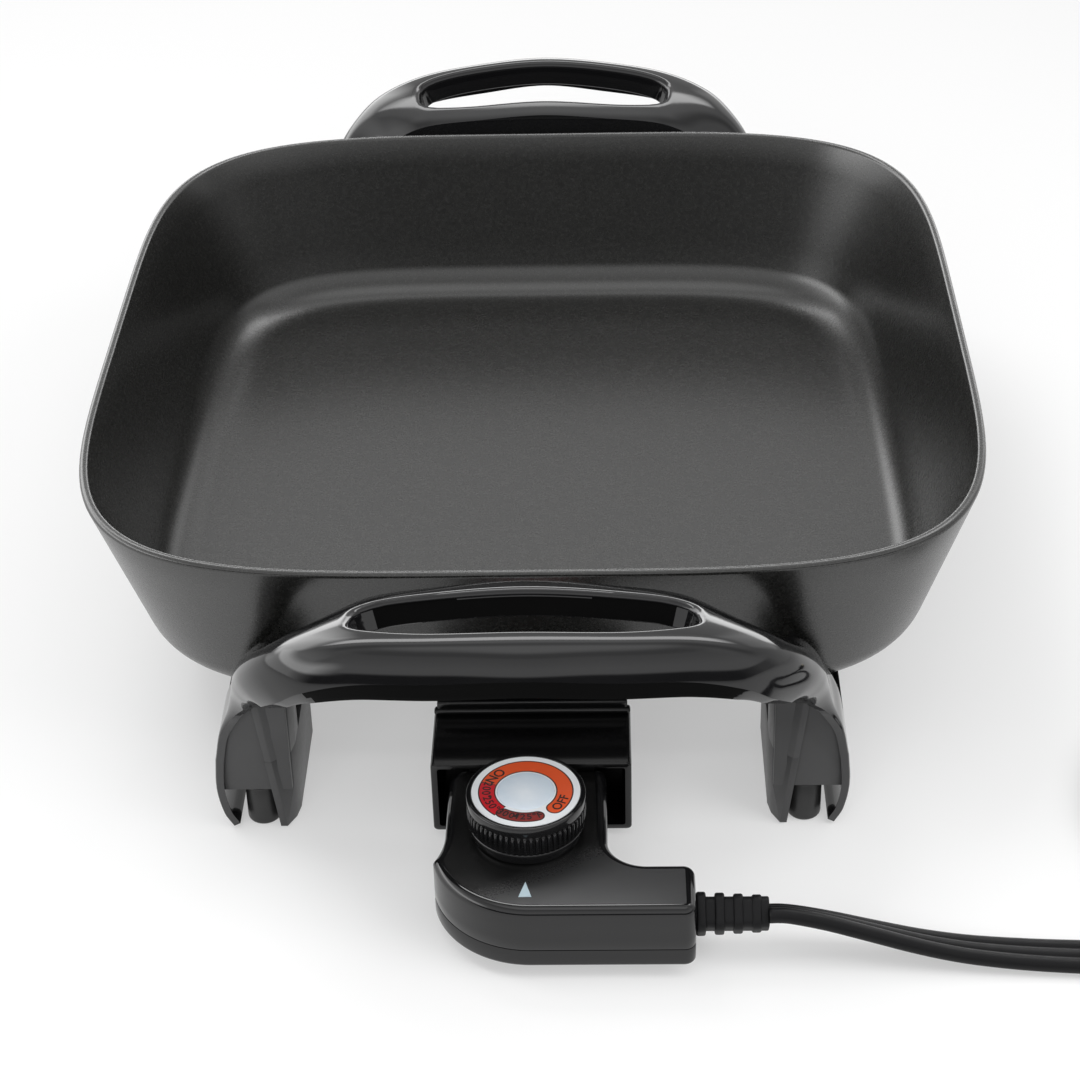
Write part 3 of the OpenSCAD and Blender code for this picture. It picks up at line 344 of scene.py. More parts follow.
def lens_disc(name):
    f = Finish(name, IOR=1.5, Coat_Weight=0.6, Coat_Roughness=0.10)
    x, y = f.from_dial()
    radius = (x * x + y * y).maths("SQRT")
    cloud = f.noise(f.place(), 220, 3.0)
    # painted shade: the lens is darker towards its rim and towards the back, with a random cloud
    # on top
    tone = (radius * 0.06 + y * 0.02 + cloud * 0.5).maths("MINIMUM", 1.0)
    f.feed("Base Color", f.mix(tone, (0.82, 0.86, 0.90), (0.56, 0.66, 0.76)))
    f.feed("Roughness", cloud * 0.2 + 0.22)
    f.bump(cloud, 0.1, 0.0001)
    return f.material


def flat_print(name, colour):
    f = Finish(name, IOR=1.48)
    tone = f.noise(f.place(), 500, 2.0)
    f.spread(tone, colour, 0.9, 1.08)
    f.feed("Roughness", tone * 0.1 + 0.4)
    return f.material


# each finish by its name: its maker and what the maker is given
FINISHES = {
    "coated_pan": (coated_pan,),
    "glossy_moulding": (glossy_moulding,),
    "guard_moulding": (glossy_moulding, 0.5, 0.16),
    # partly a duller finish, partly painted light: the legs' faces are the same black moulding,
    # painted lighter for the light they reflect
    "leg_edge": (dull_moulding, (0.046, 0.046, 0.047), 0.40, 500),
    # painted shade: a darker, barely reflecting copy of the black moulding for the flange behind
    # the slot
    "dark_flange": (dull_moulding, (0.002, 0.002, 0.002), 0.40, 500, GRAIN_DEPTH, 1.1),
    "cord_vinyl": (dull_moulding, (0.0035, 0.0035, 0.004), 0.46, 900, 0.00003, 1.3),
    "relief_vinyl": (dull_moulding, (0.004, 0.004, 0.0045), 0.5, 800, GRAIN_DEPTH, 1.3),
    "nose_moulding": (dull_moulding, (0.018, 0.018, 0.018), 0.5, 600),
    "foot_rubber": (dull_moulding, (0.020, 0.020, 0.020), 0.38, 500),
    "tie_strap": (dull_moulding, (0.02, 0.02, 0.02), 0.6, 900),
    "lamp_glass": (dull_moulding, (0.72, 0.44, 0.30), 0.15, 300),
    "heater_sheath": (metal, (0.30, 0.28, 0.26), 0.42, (1, 1, 30), (0.20, 0.16, 0.13)),
    "pressed_steel": (metal, (0.56, 0.56, 0.54), 0.32, (1, 30, 1)),
    "bright_steel": (metal, (0.70, 0.70, 0.68), 0.20, (1, 30, 1)),
    "plated_screw": (metal, (0.66, 0.66, 0.65), 0.24, (1, 1, 20)),
    "spring_brass": (metal, (0.72, 0.52, 0.20), 0.28, (1, 20, 1)),
    "plug_brass": (metal, (0.74, 0.66, 0.44), 0.22, (20, 1, 1)),
    "bimetal": (metal, (0.48, 0.44, 0.38), 0.36, (20, 1, 1)),
    "white_ceramic": (white_ceramic,),
    "printed_label": (printed_label,),
    "control_top": (control_deck,),
    "lens_disc": (lens_disc,),
    "letter_black": (flat_print, (0.008, 0.007, 0.008)),
    "pointer_paint": (flat_print, (0.42, 0.52, 0.57)),
}


def finish(name):
    if name not in MADE:
        maker, *values = FINISHES[name]
        MADE[name] = maker(name, *values)
    return MADE[name]


# ---------------------------------------------------------------- mesh helpers

def link(name, data):
    obj = bpy.data.objects.new(name, data)
    bpy.context.scene.collection.objects.link(obj)
    return obj


def piece(name, points, faces, material, smooth=True, in_mm=True, angle=None):
    """A mesh object at the origin from points in millimetres."""
    mesh = bpy.data.meshes.new(name)
    mesh.from_pydata([mm(*p) for p in points] if in_mm else points, [], faces)
    mesh.materials.append(finish(material) if isinstance(material, str) else material)
    obj = link(name, mesh)
    mesh.validate()
    if smooth:
        shade(obj)
    if angle:
        sharpen(obj, angle)
    return obj


def shade(obj):
    for p in obj.data.polygons:
        p.use_smooth = True


def edit(obj, change):
    """Changes a piece by a function of its bmesh."""
    m = bmesh.new()
    m.from_mesh(obj.data)
    change(m)
    m.to_mesh(obj.data)
    m.free()
    return obj


def sharpen(obj, degrees):
    """Marks the edges sharper than an angle, so that smooth shading stops there."""
    def mark(m):
        for e in m.edges:
            e.smooth = not (len(e.link_faces) == 2
                            and e.calc_face_angle(0) > math.radians(degrees))
    return edit(obj, mark)


def outward(obj):
    """Joins points that coincide and turns all faces outwards."""
    def turn(m):
        bmesh.ops.remove_doubles(m, verts=m.verts, dist=1e-7)
        bmesh.ops.recalc_face_normals(m, faces=m.faces)
    return edit(obj, turn)


def flatten(obj, limit):
    """Takes faces that lie in one plane together."""
    return edit(obj, lambda m: bmesh.ops.dissolve_limit(m, angle_limit=limit, verts=m.verts,
                                                        edges=m.edges))


def apply_modifiers(obj):
    """Turns an object with modifiers into a plain mesh."""
    deps = bpy.context.evaluated_depsgraph_get()
    mesh = bpy.data.meshes.new_from_object(obj.evaluated_get(deps))
    old = obj.data
    obj.modifiers.clear()
    obj.data = mesh
    bpy.data.meshes.remove(old)
    return obj


def bevel(obj, width, segments=3, angle=30):
    """Rounds the edges of a piece by a width in millimetres."""
    m = obj.modifiers.new("edges", "BEVEL")
    m.width, m.segments, m.limit_method = width / 1000, segments, "ANGLE"
    m.angle_limit = math.radians(angle)
    m.harden_normals = False
    shade(apply_modifiers(obj))
    return sharpen(obj, 38)


def join(name, objs):
    """Joins pieces into one object that has each of their finishes once."""
    m = bmesh.new()
    slots = []
    for o in objs:
        keep = len(m.faces)
        first = len(slots)
        slots += list(o.data.materials)
        m.from_mesh(o.data)
        m.faces.ensure_lookup_table()
        for f in m.faces[keep:]:
            f.material_index += first
    mesh = bpy.data.meshes.new(name)
    names, order = [], []
    for s in slots:
        if s.name not in names:
            names.append(s.name)
            mesh.materials.append(s)
        order.append(names.index(s.name))
    for f in m.faces:
        f.material_index = order[f.material_index]
    m.to_mesh(mesh)
    m.free()
    for o in objs:
        bpy.data.objects.remove(o)
    return link(name, mesh)


def skin(count, n):
    """The quads between a count of rings of n points each."""
    return [(r * n + i, r * n + (i + 1) % n, (r + 1) * n + (i + 1) % n, (r + 1) * n + i)
            for r in range(count - 1) for i in range(n)]


def loft(name, rings, material, caps=(True, True), **how):
    """A skin through rings of points, closed at the ends by fans."""
    n = len(rings[0])
    points = [p for ring in rings for p in ring]
    faces = skin(len(rings), n)
    for end, wanted in zip((0, len(rings) - 1), caps):
        if wanted:
            ring = rings[end]
            points.append(tuple(sum(p[k] for p in ring) / n for k in range(3)))
            c = len(points) - 1
            for i in range(n):
                a, b = end * n + i, end * n + (i + 1) % n
                faces.append((c, b, a) if end == 0 else (c, a, b))
    return piece(name, points, faces, material, **how)


def block(name, low, high, material, round_by, segments):
    """A box between two corners with rounded edges."""
    x0, y0, z0 = low
    x1, y1, z1 = high
    ring = [(x0, y0), (x1, y0), (x1, y1), (x0, y1)]
    obj = loft(name, [[(x, y, z) for x, y in ring] for z in (z0, z1)], material)
    return bevel(flatten(obj, 0.01), round_by, segments)


def turned(name, profile, centre, material, steps=64, axis="z", **how):
    """A turned piece: profile of (radius, height) about an axis through a centre."""
    rings = []
    for r, h in profile:
        ring = []
        for i in range(steps):
            a = 2 * math.pi * i / steps
            u, v = max(r, 0.001) * math.cos(a), max(r, 0.001) * math.sin(a)
            q = {"z": (u, v, h), "-y": (u, -h, v)}[axis]
            ring.append(tuple(c + d for c, d in zip(centre, q)))
        rings.append(ring)
    return outward(loft(name, rings, material, **how))


def arc(x, y, r, a0, a1, n):
    """Points on a circle from one angle to another, in n steps."""
    return [(x + r * math.cos(math.radians(a0 + (a1 - a0) * i / n)),
             y + r * math.sin(math.radians(a0 + (a1 - a0) * i / n))) for i in range(n + 1)]


def dress(**finishes):
    """Gives nodes of the frame their own finish."""
    for node, material in finishes.items():
        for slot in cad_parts[node].material_slots:
            slot.material = finish(material)


# ---------------------------------------------------------------- geometry nodes

class Growth:
    """A Geometry Nodes tree that is built in the script and applied once."""

    def __init__(self, name):
        self.tree = bpy.data.node_groups.new(name, "GeometryNodeTree")
        self.tree.interface.new_socket("Geometry", in_out="OUTPUT",
                                       socket_type="NodeSocketGeometry")
        self.source = self.tree.nodes.new("NodeGroupInput")
        self.end = self.tree.nodes.new("NodeGroupOutput")
        self.values = {}

    def size(self, name, value, kind="NodeSocketFloat"):
        socket = self.tree.interface.new_socket(name, in_out="INPUT", socket_type=kind)
        socket.default_value = value
        self.values[socket.identifier] = value
        return self.source.outputs[name]

    def add(self, kind, made_with=None, inputs=None):
        node = self.tree.nodes.new(kind)
        for key, value in (made_with or {}).items():
            setattr(node, key, value)
        for key, value in (inputs or {}).items():
            if isinstance(value, bpy.types.NodeSocket):
                self.tree.links.new(value, node.inputs[key])
            else:
                node.inputs[key].default_value = value
        return node.outputs[0]

    def maths(self, how, a, b):
        return self.add("ShaderNodeMath", {"operation": how}, {0: a, 1: b})

    def vector(self, *parts):
        return self.add("ShaderNodeCombineXYZ", {}, dict(enumerate(parts)))

    def grow(self, name, geometry, material):
        real = self.add("GeometryNodeRealizeInstances", {}, {0: geometry})
        done = self.add("GeometryNodeSetMaterial", {}, {0: real, "Material": finish(material)})
        self.tree.links.new(done, self.end.inputs[0])
        obj = link(name, bpy.data.meshes.new(name))
        maker = obj.modifiers.new("growth", "NODES")
        maker.node_group = self.tree
        for identifier, value in self.values.items():
            maker[identifier] = value
        return apply_modifiers(obj)

    def repeat(self, name, template, many, spots, material, **how):
        """Copies of a small piece at their spots, which takes the piece itself away."""
        info = self.add("GeometryNodeObjectInfo", {"transform_space": "ORIGINAL"})
        info.node.inputs["Object"].default_value = template
        points = self.add("GeometryNodePoints", {}, {"Count": many})
        put = self.add("GeometryNodeSetPosition", {}, {0: points, "Position": spots})
        copies = self.add("GeometryNodeInstanceOnPoints", {},
                          {"Points": put, "Instance": info.node.outputs["Geometry"], **how})
        obj = self.grow(name, copies, material)
        bpy.data.objects.remove(template)
        return obj


def ring_of(name, template, count, centre, material, radius):
    """Copies of a small piece round a vertical axis through a centre, in metres."""
    g = Growth(name)
    many = g.size("Count", count, "NodeSocketInt")
    reach = g.size("Radius", radius)
    middle = g.size("Centre", centre, "NodeSocketVector")
    index = g.add("GeometryNodeInputIndex")
    turn = g.maths("MULTIPLY", index, g.maths("DIVIDE", 2 * math.pi, many))
    swung = g.add("ShaderNodeVectorRotate", {"rotation_type": "Z_AXIS"},
                  {"Vector": g.vector(reach), "Angle": turn})
    spots = g.add("ShaderNodeVectorMath", {"operation": "ADD"}, {0: swung, 1: middle})
    return g.repeat(name, template, many, spots, material, Rotation=g.vector(0, 0, turn))


# ---------------------------------------------------------------- sweeps along a path

def sweep(name, path, section, material, turns):
    """A section swept along a path; before its turn its first axis lies level across the path."""
    rings = []
    for i, p in enumerate(path):
        a, b = Vector(path[max(i - 1, 0)]), Vector(path[min(i + 1, len(path) - 1)])
        d = (b - a).normalized()
        across = Vector((-d.y, d.x, 0)).normalized()
        up = d.cross(across)
        t = math.radians(turns[i])
        ring = []
        for u, v in section:
            x, z = u * math.cos(t) - v * math.sin(t), u * math.sin(t) + v * math.cos(t)
            ring.append(tuple(Vector(p) + across * x + up * z))
        rings.append(ring)
    return outward(loft(name, rings, material))


def refine(points, values, steps):
    """More points on a smooth curve through a path, and the values that go with them."""
    fine, carried = [], []
    n = len(points)
    for i in range(n - 1):
        p = [Vector(points[min(max(k, 0), n - 1)]) for k in (i - 1, i, i + 1, i + 2)]
        for s in range(steps):
            t = s / steps
            q = 0.5 * (2 * p[1] + (p[2] - p[0]) * t
                       + (2 * p[0] - 5 * p[1] + 4 * p[2] - p[3]) * t * t
                       + (3 * p[1] - p[0] - 3 * p[2] + p[3]) * t ** 3)
            fine.append(tuple(q))
            carried.append(values[i] * (1 - t) + values[i + 1] * t)
    fine.append(tuple(points[-1]))
    carried.append(values[-1])
    return fine, carried


# ---------------------------------------------------------------- camera, lights and floor

# the camera as it was solved from the picture: 2562 pixels of focal length over 1080 of width
LENS = 2562 / 1080 * 36
PITCH, YAW, ROLL = math.radians(33.99), math.radians(-1.886), math.radians(1.643)
EYE = (0.0259, -0.7952, 0.5436)


def soft_light(name, place, aim, size, power):
    data = bpy.data.lights.new(name, "AREA")
    data.shape, data.size, data.size_y = "RECTANGLE", size[0], size[1]
    data.energy = power
    lamp = link(name, data)
    lamp.location = place
    lamp.rotation_euler = (Vector(aim) - Vector(place)).to_track_quat("-Z", "Y").to_euler()
    lamp.visible_glossy = False


def room_in_mirrors(sky):
    """How bright a mirror sees the room: +X is to the right, -Y to the camera and +Z up."""
    x, y, z = sky.axes(sky.add("ShaderNodeTexCoord", out=0))
    front = (0.0 - y).above(0.0, 0.5)
    left = x.below(0.0, 0.2)
    out = x.maths("ABSOLUTE")
    # the backdrop brightens upwards; ahead, the room is dark low down, and its ceiling has a dip
    high = z.above(0.68, 0.28) * 0.6 + z.above(0.92, 0.06) * 0.25 + 0.75
    dip = (z - 0.84).maths("ABSOLUTE").below(0.05, 0.05) * 0.25
    ahead = z.above(0.26, 0.06) * 1.15 - z.above(0.6, 0.3) * 0.3 + z.above(0.92, 0.06) * 0.75
    room = high * (1.0 - front) + (ahead - dip) * front
    # the gap between the two soft boxes overhead
    gap = (y - 0.12).maths("ABSOLUTE").below(0.10, 0.14) * z.above(0.5, 0.2)
    room = room * (1.0 - gap * 0.5)
    # bright sides, the window on the left and an upright strip behind on each side
    sides = out.above(0.66, 0.3) * (y + 0.4).above(0.0, 0.4) * (left * 1.3 + 0.4)
    window = (0.0 - x).above(0.6, 0.2) * (y + 0.6).above(0.0, 0.3)
    window = window * z.above(0.22, 0.08) * z.below(0.50, 0.2) * 4.4
    strips = out.above(0.34, 0.16) * out.below(0.80, 0.2) * y.above(0.35, 0.3)
    strips = strips * z.above(0.10, 0.12) * z.below(0.62, 0.2) * (left * 2.4 + 1.4)
    # long thin boxes behind the pan, one low and one high
    behind = y.above(0.8, 0.1) * z.above(0.04, 0.04) * z.below(0.22, 0.06) * 4.2
    over = (y - 0.53).maths("ABSOLUTE").below(0.10, 0.05) * z.above(0.66, 0.1) * 6.5
    for box in (sides, window, strips, behind, over):
        room = room.maths("MAXIMUM", box)
    return room + 0.04


class SKILLET_OT_stage(bpy.types.Operator):
    """Makes the camera, the soft lights and the white floor."""
    bl_idname = "skillet.stage"
    bl_label = "Stage"

    def execute(self, context):
        scene = context.scene
        fwd = Vector((math.sin(YAW) * math.cos(PITCH), math.cos(YAW) * math.cos(PITCH),
                      -math.sin(PITCH)))
        right = Vector((math.cos(YAW), -math.sin(YAW), 0))
        down = fwd.cross(right)
        across = right * math.cos(ROLL) + down * math.sin(ROLL)
        below = -right * math.sin(ROLL) + down * math.cos(ROLL)
        data = bpy.data.cameras.new("camera")
        data.sensor_width, data.lens, data.clip_start = 36, LENS, 0.01
        camera = link("camera", data)
        turn = Matrix((across, -below, -fwd)).transposed().to_4x4()
        camera.matrix_world = Matrix.Translation(EYE) @ turn
        scene.camera = camera
        scene.view_settings.view_transform = "Standard"

        # white behind the object, a lit room in its mirrors and an even grey light all round
        world = bpy.data.worlds.new("studio")
        world.use_nodes = True
        scene.world = world
        sky = Sky(world)
        background = sky.tree.nodes["Background"]
        direct, mirror, glass = sky.rays()
        mirrored = mirror.maths("MAXIMUM", glass)
        level = (1.0 - mirrored) * 0.5 + mirrored * room_in_mirrors(sky)
        level = direct * (1.0 - level) + level
        sky.tree.links.new(level.socket, background.inputs["Strength"])
        background.inputs["Color"].default_value = (1, 1, 1, 1)

        # the floor glows for the camera and for mirrors, so that it is white with soft shadows
        f = Finish("white_floor", Base_Color=(0.86, 0.86, 0.86, 1), Roughness=1.0,
                   Specular_IOR_Level=0.0)
        glow = f.add("ShaderNodeEmission", {}, {"Color": (1, 1, 1, 1), "Strength": 1.0})
        direct, mirror, glass = f.rays()
        seen = direct.maths("MAXIMUM", mirror).maths("MAXIMUM", glass)
        both = f.add("ShaderNodeMixShader", {}, {0: seen * 0.42, 2: glow})
        f.tree.links.new(f.shader.outputs[0], both.socket.node.inputs[1])
        f.tree.links.new(both.socket, f.tree.nodes["Material Output"].inputs[0])
        reach = 3.2
        floor = piece("floor", [(-reach, -reach, 0), (reach, -reach, 0), (reach, reach, 0),
                                (-reach, reach, 0)], [(0, 1, 2, 3)], f.material, smooth=False,
                      in_mm=False)
        soft_light("key", (-0.55, 0.35, 1.35), (0, 0, 0.05), (0.9, 0.7), 9)
        soft_light("fill", (0.9, -0.5, 0.9), (0, 0, 0.05), (0.7, 0.7), 5)
        soft_light("front", (-0.2, -1.3, 0.75), (0, -0.1, 0.05), (0.9, 0.4), 4)
        soft_light("top", (0, -0.35, 1.5), (0, 0, 0.05), (1.5, 0.7), 6)
        return {"FINISHED"}


# ---------------------------------------------------------------- cord, relief and plug

# the part of the cord that the picture shows, the coil beside the pan and the plug's place
ROUTE = [(72.6, -226.4, 16.25), (78.6, -226.4, 16.05), (90, -227, 13.9), (104, -228, 10.4),
         (118, -229, 7.0), (132, -230, 4.7), (148, -231, 3.5), (164, -232, 3.2), (184, -233, 3.2),
         (206, -233.7, 3.2), (228, -234, 3.2), (242, -234, 3.2)]
ROUTE_TURN = [-34, -34, -31, -26, -20, -13, -7, -3, 0, 0, 0, 0]
COIL = (256, -166, 68)
COIL_TURNS, COIL_RISE, COIL_REST = 1.25, 5.6, 3.2
PLUG_START, PLUG_Z = -93, 9.5


def cord_line():
    """The whole line of the cord from the relief to the plug, with its twist."""
    line, turns = list(ROUTE), list(ROUTE_TURN)
    x, y, r = COIL
    line.append((x - 7, y - r, COIL_REST))
    steps = 24
    for k in range(int(steps * COIL_TURNS) + 1):
        s = k / steps
        a = math.radians(-90 + 360 * s)
        line.append((x + r * math.cos(a), y + r * math.sin(a), COIL_REST + COIL_RISE * s))
    top = COIL_REST + COIL_RISE * COIL_TURNS
    line += [(x + r, y + 7, top), (x + r, y + 14, top), (x + r, y + 27, top),
             (x + r, -122, (top + PLUG_Z) / 2), (x + r, -106, PLUG_Z), (x + r, PLUG_START, PLUG_Z)]
    turns += [0] * (len(line) - len(turns))
    return line, turns


def three_core(width, thick):
    """Section of the flat cord: three round lobes with two grooves between them."""
    r = thick / 2
    gap = (width - thick) / 2
    half = []
    for k, (a0, a1, n) in enumerate(((180, 42, 8), (138, 42, 6), (138, 0, 8))):
        centre = (k - 1) * gap
        half += arc(centre, 0, r, a0, a1, n)
        if k < 2:
            half.append((centre + gap / 2, r * 0.52))
    return half + [(u, -v) for u, v in reversed(half[1:-1])]


def slab(w, h, r, n):
    """Outline of a rounded rectangle about its middle."""
    x, y = w / 2 - r, h / 2 - r
    return (arc(x, y, r, 0, 90, n) + arc(-x, y, r, 90, 180, n)
            + arc(-x, -y, r, 180, 270, n) + arc(x, -y, r, 270, 360, n))


def pillow(w, h, r, start, length, soft, turn=0.0):
    """Rings of a rounded slab with softened ends, along +X from a start."""
    c, s = math.cos(math.radians(turn)), math.sin(math.radians(turn))
    rings = []
    ends = [(soft * (1 - math.sin(math.radians(a))), soft * (1 - math.cos(math.radians(a))))
            for a in (0, 30, 60, 90)]
    places = [(start + b, a) for a, b in ends]
    places += [(start + length - b, a) for a, b in reversed(ends)]
    for x, d in places:
        ring = slab(w - 2 * d, h - 2 * d, max(r - d, 0.3), 6)
        rings.append([(x, u * c - v * s, u * s + v * c) for u, v in ring])
    return rings


RELIEF = (50.6, -226.4, 16.25)
RELIEF_TURN = 34
RELIEF_SIZE, RELIEF_CORE = (12.4, 10.4), (9.6, 8.2)
CORD_SIZE = (13, 4.8)
TIE_HALF, TIE_THICK = 5, 0.9


def coil_tie():
    """The strap round the coil: a square tube whose walls follow the coil's curve."""
    x, y, r = COIL
    a = math.radians(-45)
    low = COIL_REST + COIL_RISE * 45 / 360 - CORD_SIZE[1] / 2
    wide, high = 13.4, CORD_SIZE[1] + COIL_RISE
    strap = [slab(wide + 2 * off, high + 2 * off, 1.4 + off, 4) for off in (0.0, TIE_THICK)]
    points, faces = [], []
    n = len(strap[0])
    for side in (-TIE_HALF, TIE_HALF):
        for ring in strap:
            for u, v in ring:
                points.append((x + (r + u) * math.cos(a) - side * math.sin(a),
                               y + (r + u) * math.sin(a) + side * math.cos(a),
                               max(low + high / 2 + v, 0.05)))
    for i in range(n):
        j = (i + 1) % n
        inner0, outer0, inner1, outer1 = 0, n, 2 * n, 3 * n
        faces += [(outer0 + i, outer0 + j, outer1 + j, outer1 + i),
                  (inner0 + j, inner0 + i, inner1 + i, inner1 + j),
                  (inner0 + i, inner0 + j, outer0 + j, outer0 + i),
                  (outer1 + i, outer1 + j, inner1 + j, inner1 + i)]
    return outward(piece("cord_tie", points, faces, "tie_strap", angle=40))


def plug_part(name, rings):
    """A part of the plug, from rings along +X that are turned to the plug's own direction."""
    x, y, r = COIL
    return outward(loft(name, [[(x + r + u, PLUG_START + t, PLUG_Z + v) for t, u, v in ring]
                               for ring in rings], "relief_vinyl"))


class SKILLET_OT_cord(bpy.types.Operator):
    """Makes the flat cord with its ribbed relief, coil tie and plug."""
    bl_idname = "skillet.cord"
    bl_label = "Cord"

    def execute(self, context):
        line, turns = cord_line()
        fine, twist = refine(line, turns, 4)
        flex = sweep("flat_cord", fine, three_core(*CORD_SIZE), "cord_vinyl", twist)

        rings = pillow(*RELIEF_CORE, 2.2, -1.5, 23.6, 0.5, RELIEF_TURN)
        core = outward(loft("relief_core", [[tuple(u + v for u, v in zip(q, RELIEF)) for q in ring]
                                            for ring in rings], "relief_vinyl"))
        relief = join("ribbed_relief", [core, relief_ribs(settings().rib_count)])
        tie = coil_tie()

        parts = [plug_part("plug_core", pillow(*RELIEF_SIZE, 3, 0, 20, 0.8)
                           + pillow(26, 18.4, 5, 20, 34, 1.6))]
        parts += [plug_part("plug_rib", pillow(14.6 - 0.2 * k, 12.4 - 0.2 * k, 3, 1.2 + 3.8 * k,
                                               1.8, 0.5)) for k in range(5)]
        plug = join("moulded_plug", parts)
        dress(plug_blades="plug_brass")
        for obj in (flex, relief, tie, plug):
            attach(obj, "control")
        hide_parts("strain_relief")
        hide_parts("cord", "cord_coil", "cord_end")
        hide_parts("coil_tie")
        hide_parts("plug_body")
        path = [mm(*p) for p in line]
        return {"FINISHED"}


def relief_ribs(count):
    """The ribs of the relief, in a row along the cord, each a little smaller."""
    rings = pillow(*RELIEF_SIZE, 3.0, 0, 3.1, 0.7)
    seed = outward(loft("rib_seed", [[tuple(c / 1000 for c in q) for q in ring] for ring in rings],
                        "relief_vinyl", in_mm=False))
    g = Growth("relief_ribs")
    many = g.size("Count", count, "NodeSocketInt")
    pitch = g.size("Pitch", 0.0056)
    shrink = g.size("Shrink", 0.045)
    twist = g.size("Twist", math.radians(RELIEF_TURN))
    x, y, z = RELIEF
    start = g.size("Start", mm(x + 0.1, y, z), "NodeSocketVector")
    index = g.add("GeometryNodeInputIndex")
    along = g.vector(g.maths("MULTIPLY", index, pitch))
    spots = g.add("ShaderNodeVectorMath", {"operation": "ADD"}, {0: along, 1: start})
    size = g.maths("SUBTRACT", 1.0, g.maths("MULTIPLY", index, shrink))
    return g.repeat("relief_ribs", seed, many, spots, "relief_vinyl", Rotation=g.vector(twist),
                    Scale=g.vector(0.95, size, size))


# ---------------------------------------------------------------- pan

# half sizes and corner powers of the rim, the wall's lean and length for its height, the rim's
# height, the wall, the curve down to the floor and the floor
PAN_A, PAN_B = 152.5, 159.0
CORNER_X, CORNER_Y = 4.3, 4.8
WALL_LEAN, WALL_SLANT, RIM_H, PAN_WALL, FLOOR_R, PAN_FLOOR = 0.29, 1.041, 95, 3, 15, 4
CURVE_INSET, CURVE_Z = 32.3, 48
PAN_COLUMNS, OUTLINE_STEPS = 320, 20000


def pan_point(inset, angle, z):
    """A point of the pan's outline, drawn in by an inset, at a height."""
    c, s = math.cos(angle), math.sin(angle)
    return ((PAN_A - inset) * math.copysign(abs(c) ** (2 / CORNER_X), c),
            (PAN_B - inset) * math.copysign(abs(s) ** (2 / CORNER_Y), s), z)


def even_angles(count):
    """Angles whose points are evenly spaced round the pan's outline."""
    many = OUTLINE_STEPS
    last, run, table = pan_point(0, 0, 0), 0.0, [0.0]
    for i in range(1, many + 1):
        p = pan_point(0, 2 * math.pi * i / many, 0)
        run += math.dist(p, last)
        last = p
        table.append(run)
    out, k = [], 0
    for i in range(count):
        want = run * (i + 0.5) / count
        while table[k + 1] < want:
            k += 1
        share = (want - table[k]) / (table[k + 1] - table[k])
        out.append(2 * math.pi * (k + share) / many)
    return out


def pan_profile():
    """The wall's section as (inset, height), from the floor outside over the rim to the floor
    inside."""
    lean = math.atan(WALL_LEAN)
    line = []
    for i in range(13):
        a = i * (math.pi / 2 - lean) / 12
        line.append((CURVE_INSET - (FLOOR_R + PAN_WALL) * math.sin(a),
                     CURVE_Z - (FLOOR_R + PAN_FLOOR) * math.cos(a)))
    first = line[-1]
    r = PAN_WALL / (2 * WALL_SLANT)
    centre = ((WALL_SLANT + WALL_LEAN) * r, RIM_H - r)
    rim = []
    for i in range(11):
        a = math.pi + lean - math.pi * i / 10
        rim.append((centre[0] + r * math.cos(a), centre[1] + r * math.sin(a)))
    for k in range(1, 5):
        line.append(tuple(u + (v - u) * k / 5 for u, v in zip(first, rim[0])))
    line += rim
    inside = []
    for i in range(13):
        a = (math.pi / 2 - lean) * (1 - i / 12)
        inside.append((CURVE_INSET - FLOOR_R * math.sin(a), CURVE_Z - FLOOR_R * math.cos(a)))
    for k in range(1, 5):
        line.append(tuple(u + (v - u) * k / 5 for u, v in zip(rim[-1], inside[0])))
    return line + inside


class SKILLET_OT_pan(bpy.types.Operator):
    """Makes the coated pan with its rounded rim."""
    bl_idname = "skillet.pan"
    bl_label = "Pan"

    def execute(self, context):
        angles = even_angles(PAN_COLUMNS)
        profile = pan_profile()
        # the floor's two faces run on inwards
        for end in (0, -1):
            inset, z = profile[end]
            more = [(inset + (PAN_A - inset) * share, z) for share in (0.25, 0.5, 0.75)]
            profile = more[::-1] + profile if end == 0 else profile + more
        rings = [[pan_point(inset, a, z) for a in angles] for inset, z in profile]
        pan = outward(loft("pan_shell", rings, "coated_pan"))
        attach(pan, "skillet")
        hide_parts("pan")
        return {"FINISHED"}


# ---------------------------------------------------------------- handles

# Stations along the grip and down the leg: x and height of the crest, rear edge, crest line,
# front edge, drop of the rear edge, depth of the rounding, lower edge and its depth
STATIONS = [
    (0, 106.4, 167.5, 206, 217, 7.9, 9.1, 216.5, 15.3),
    (27.2, 104.7, 167.6, 204.4, 215, 8.2, 9.7, 214.5, 15.9),
    (51.5, 101.5, 168.8, 200.3, 211.2, 8.6, 9.4, 210.5, 15.4),
    (69.7, 94.9, 171, 195, 207.2, 11.6, 9.5, 206.3, 14.5),
    (80.9, 85.8, 170.5, 188, 201.8, 13.2, 10, 200.8, 13.6),
    (88, 75.8, 161, 180, 194, 10.8, 9.2, 193, 12),
    (91.9, 65.4, 149.5, 171.5, 183.8, 6.9, 7.6, 183, 9.8),
    (94, 55.6, 146, 165, 174.2, 3.2, 4.6, 173.4, 7),
    (96, 46.8, 144.5, 163.5, 168, 0.4, 1.6, 167.6, 3.9),
    (99.3, 38.3, 144.5, 164.5, 166, 0, 0.6, 166, 2.9),
    (101.2, 29, 144.5, 164.5, 166, 0, 0.5, 166, 2.8),
    (101.5, 27.4, 116, 164.5, 166, 0, 0.5, 166, 2.8),
    (102.2, 16, 116, 164.5, 166, 0, 0.5, 166, 2.8),
    (100.6, 6, 116, 164.5, 166, 0, 0.5, 166, 2.8),
    (98, 0.8, 116, 164.5, 166, 0, 0.5, 166, 2.8)]
LAST, LEG_FROM = len(STATIONS) - 1, 9
SHELL = 2.8
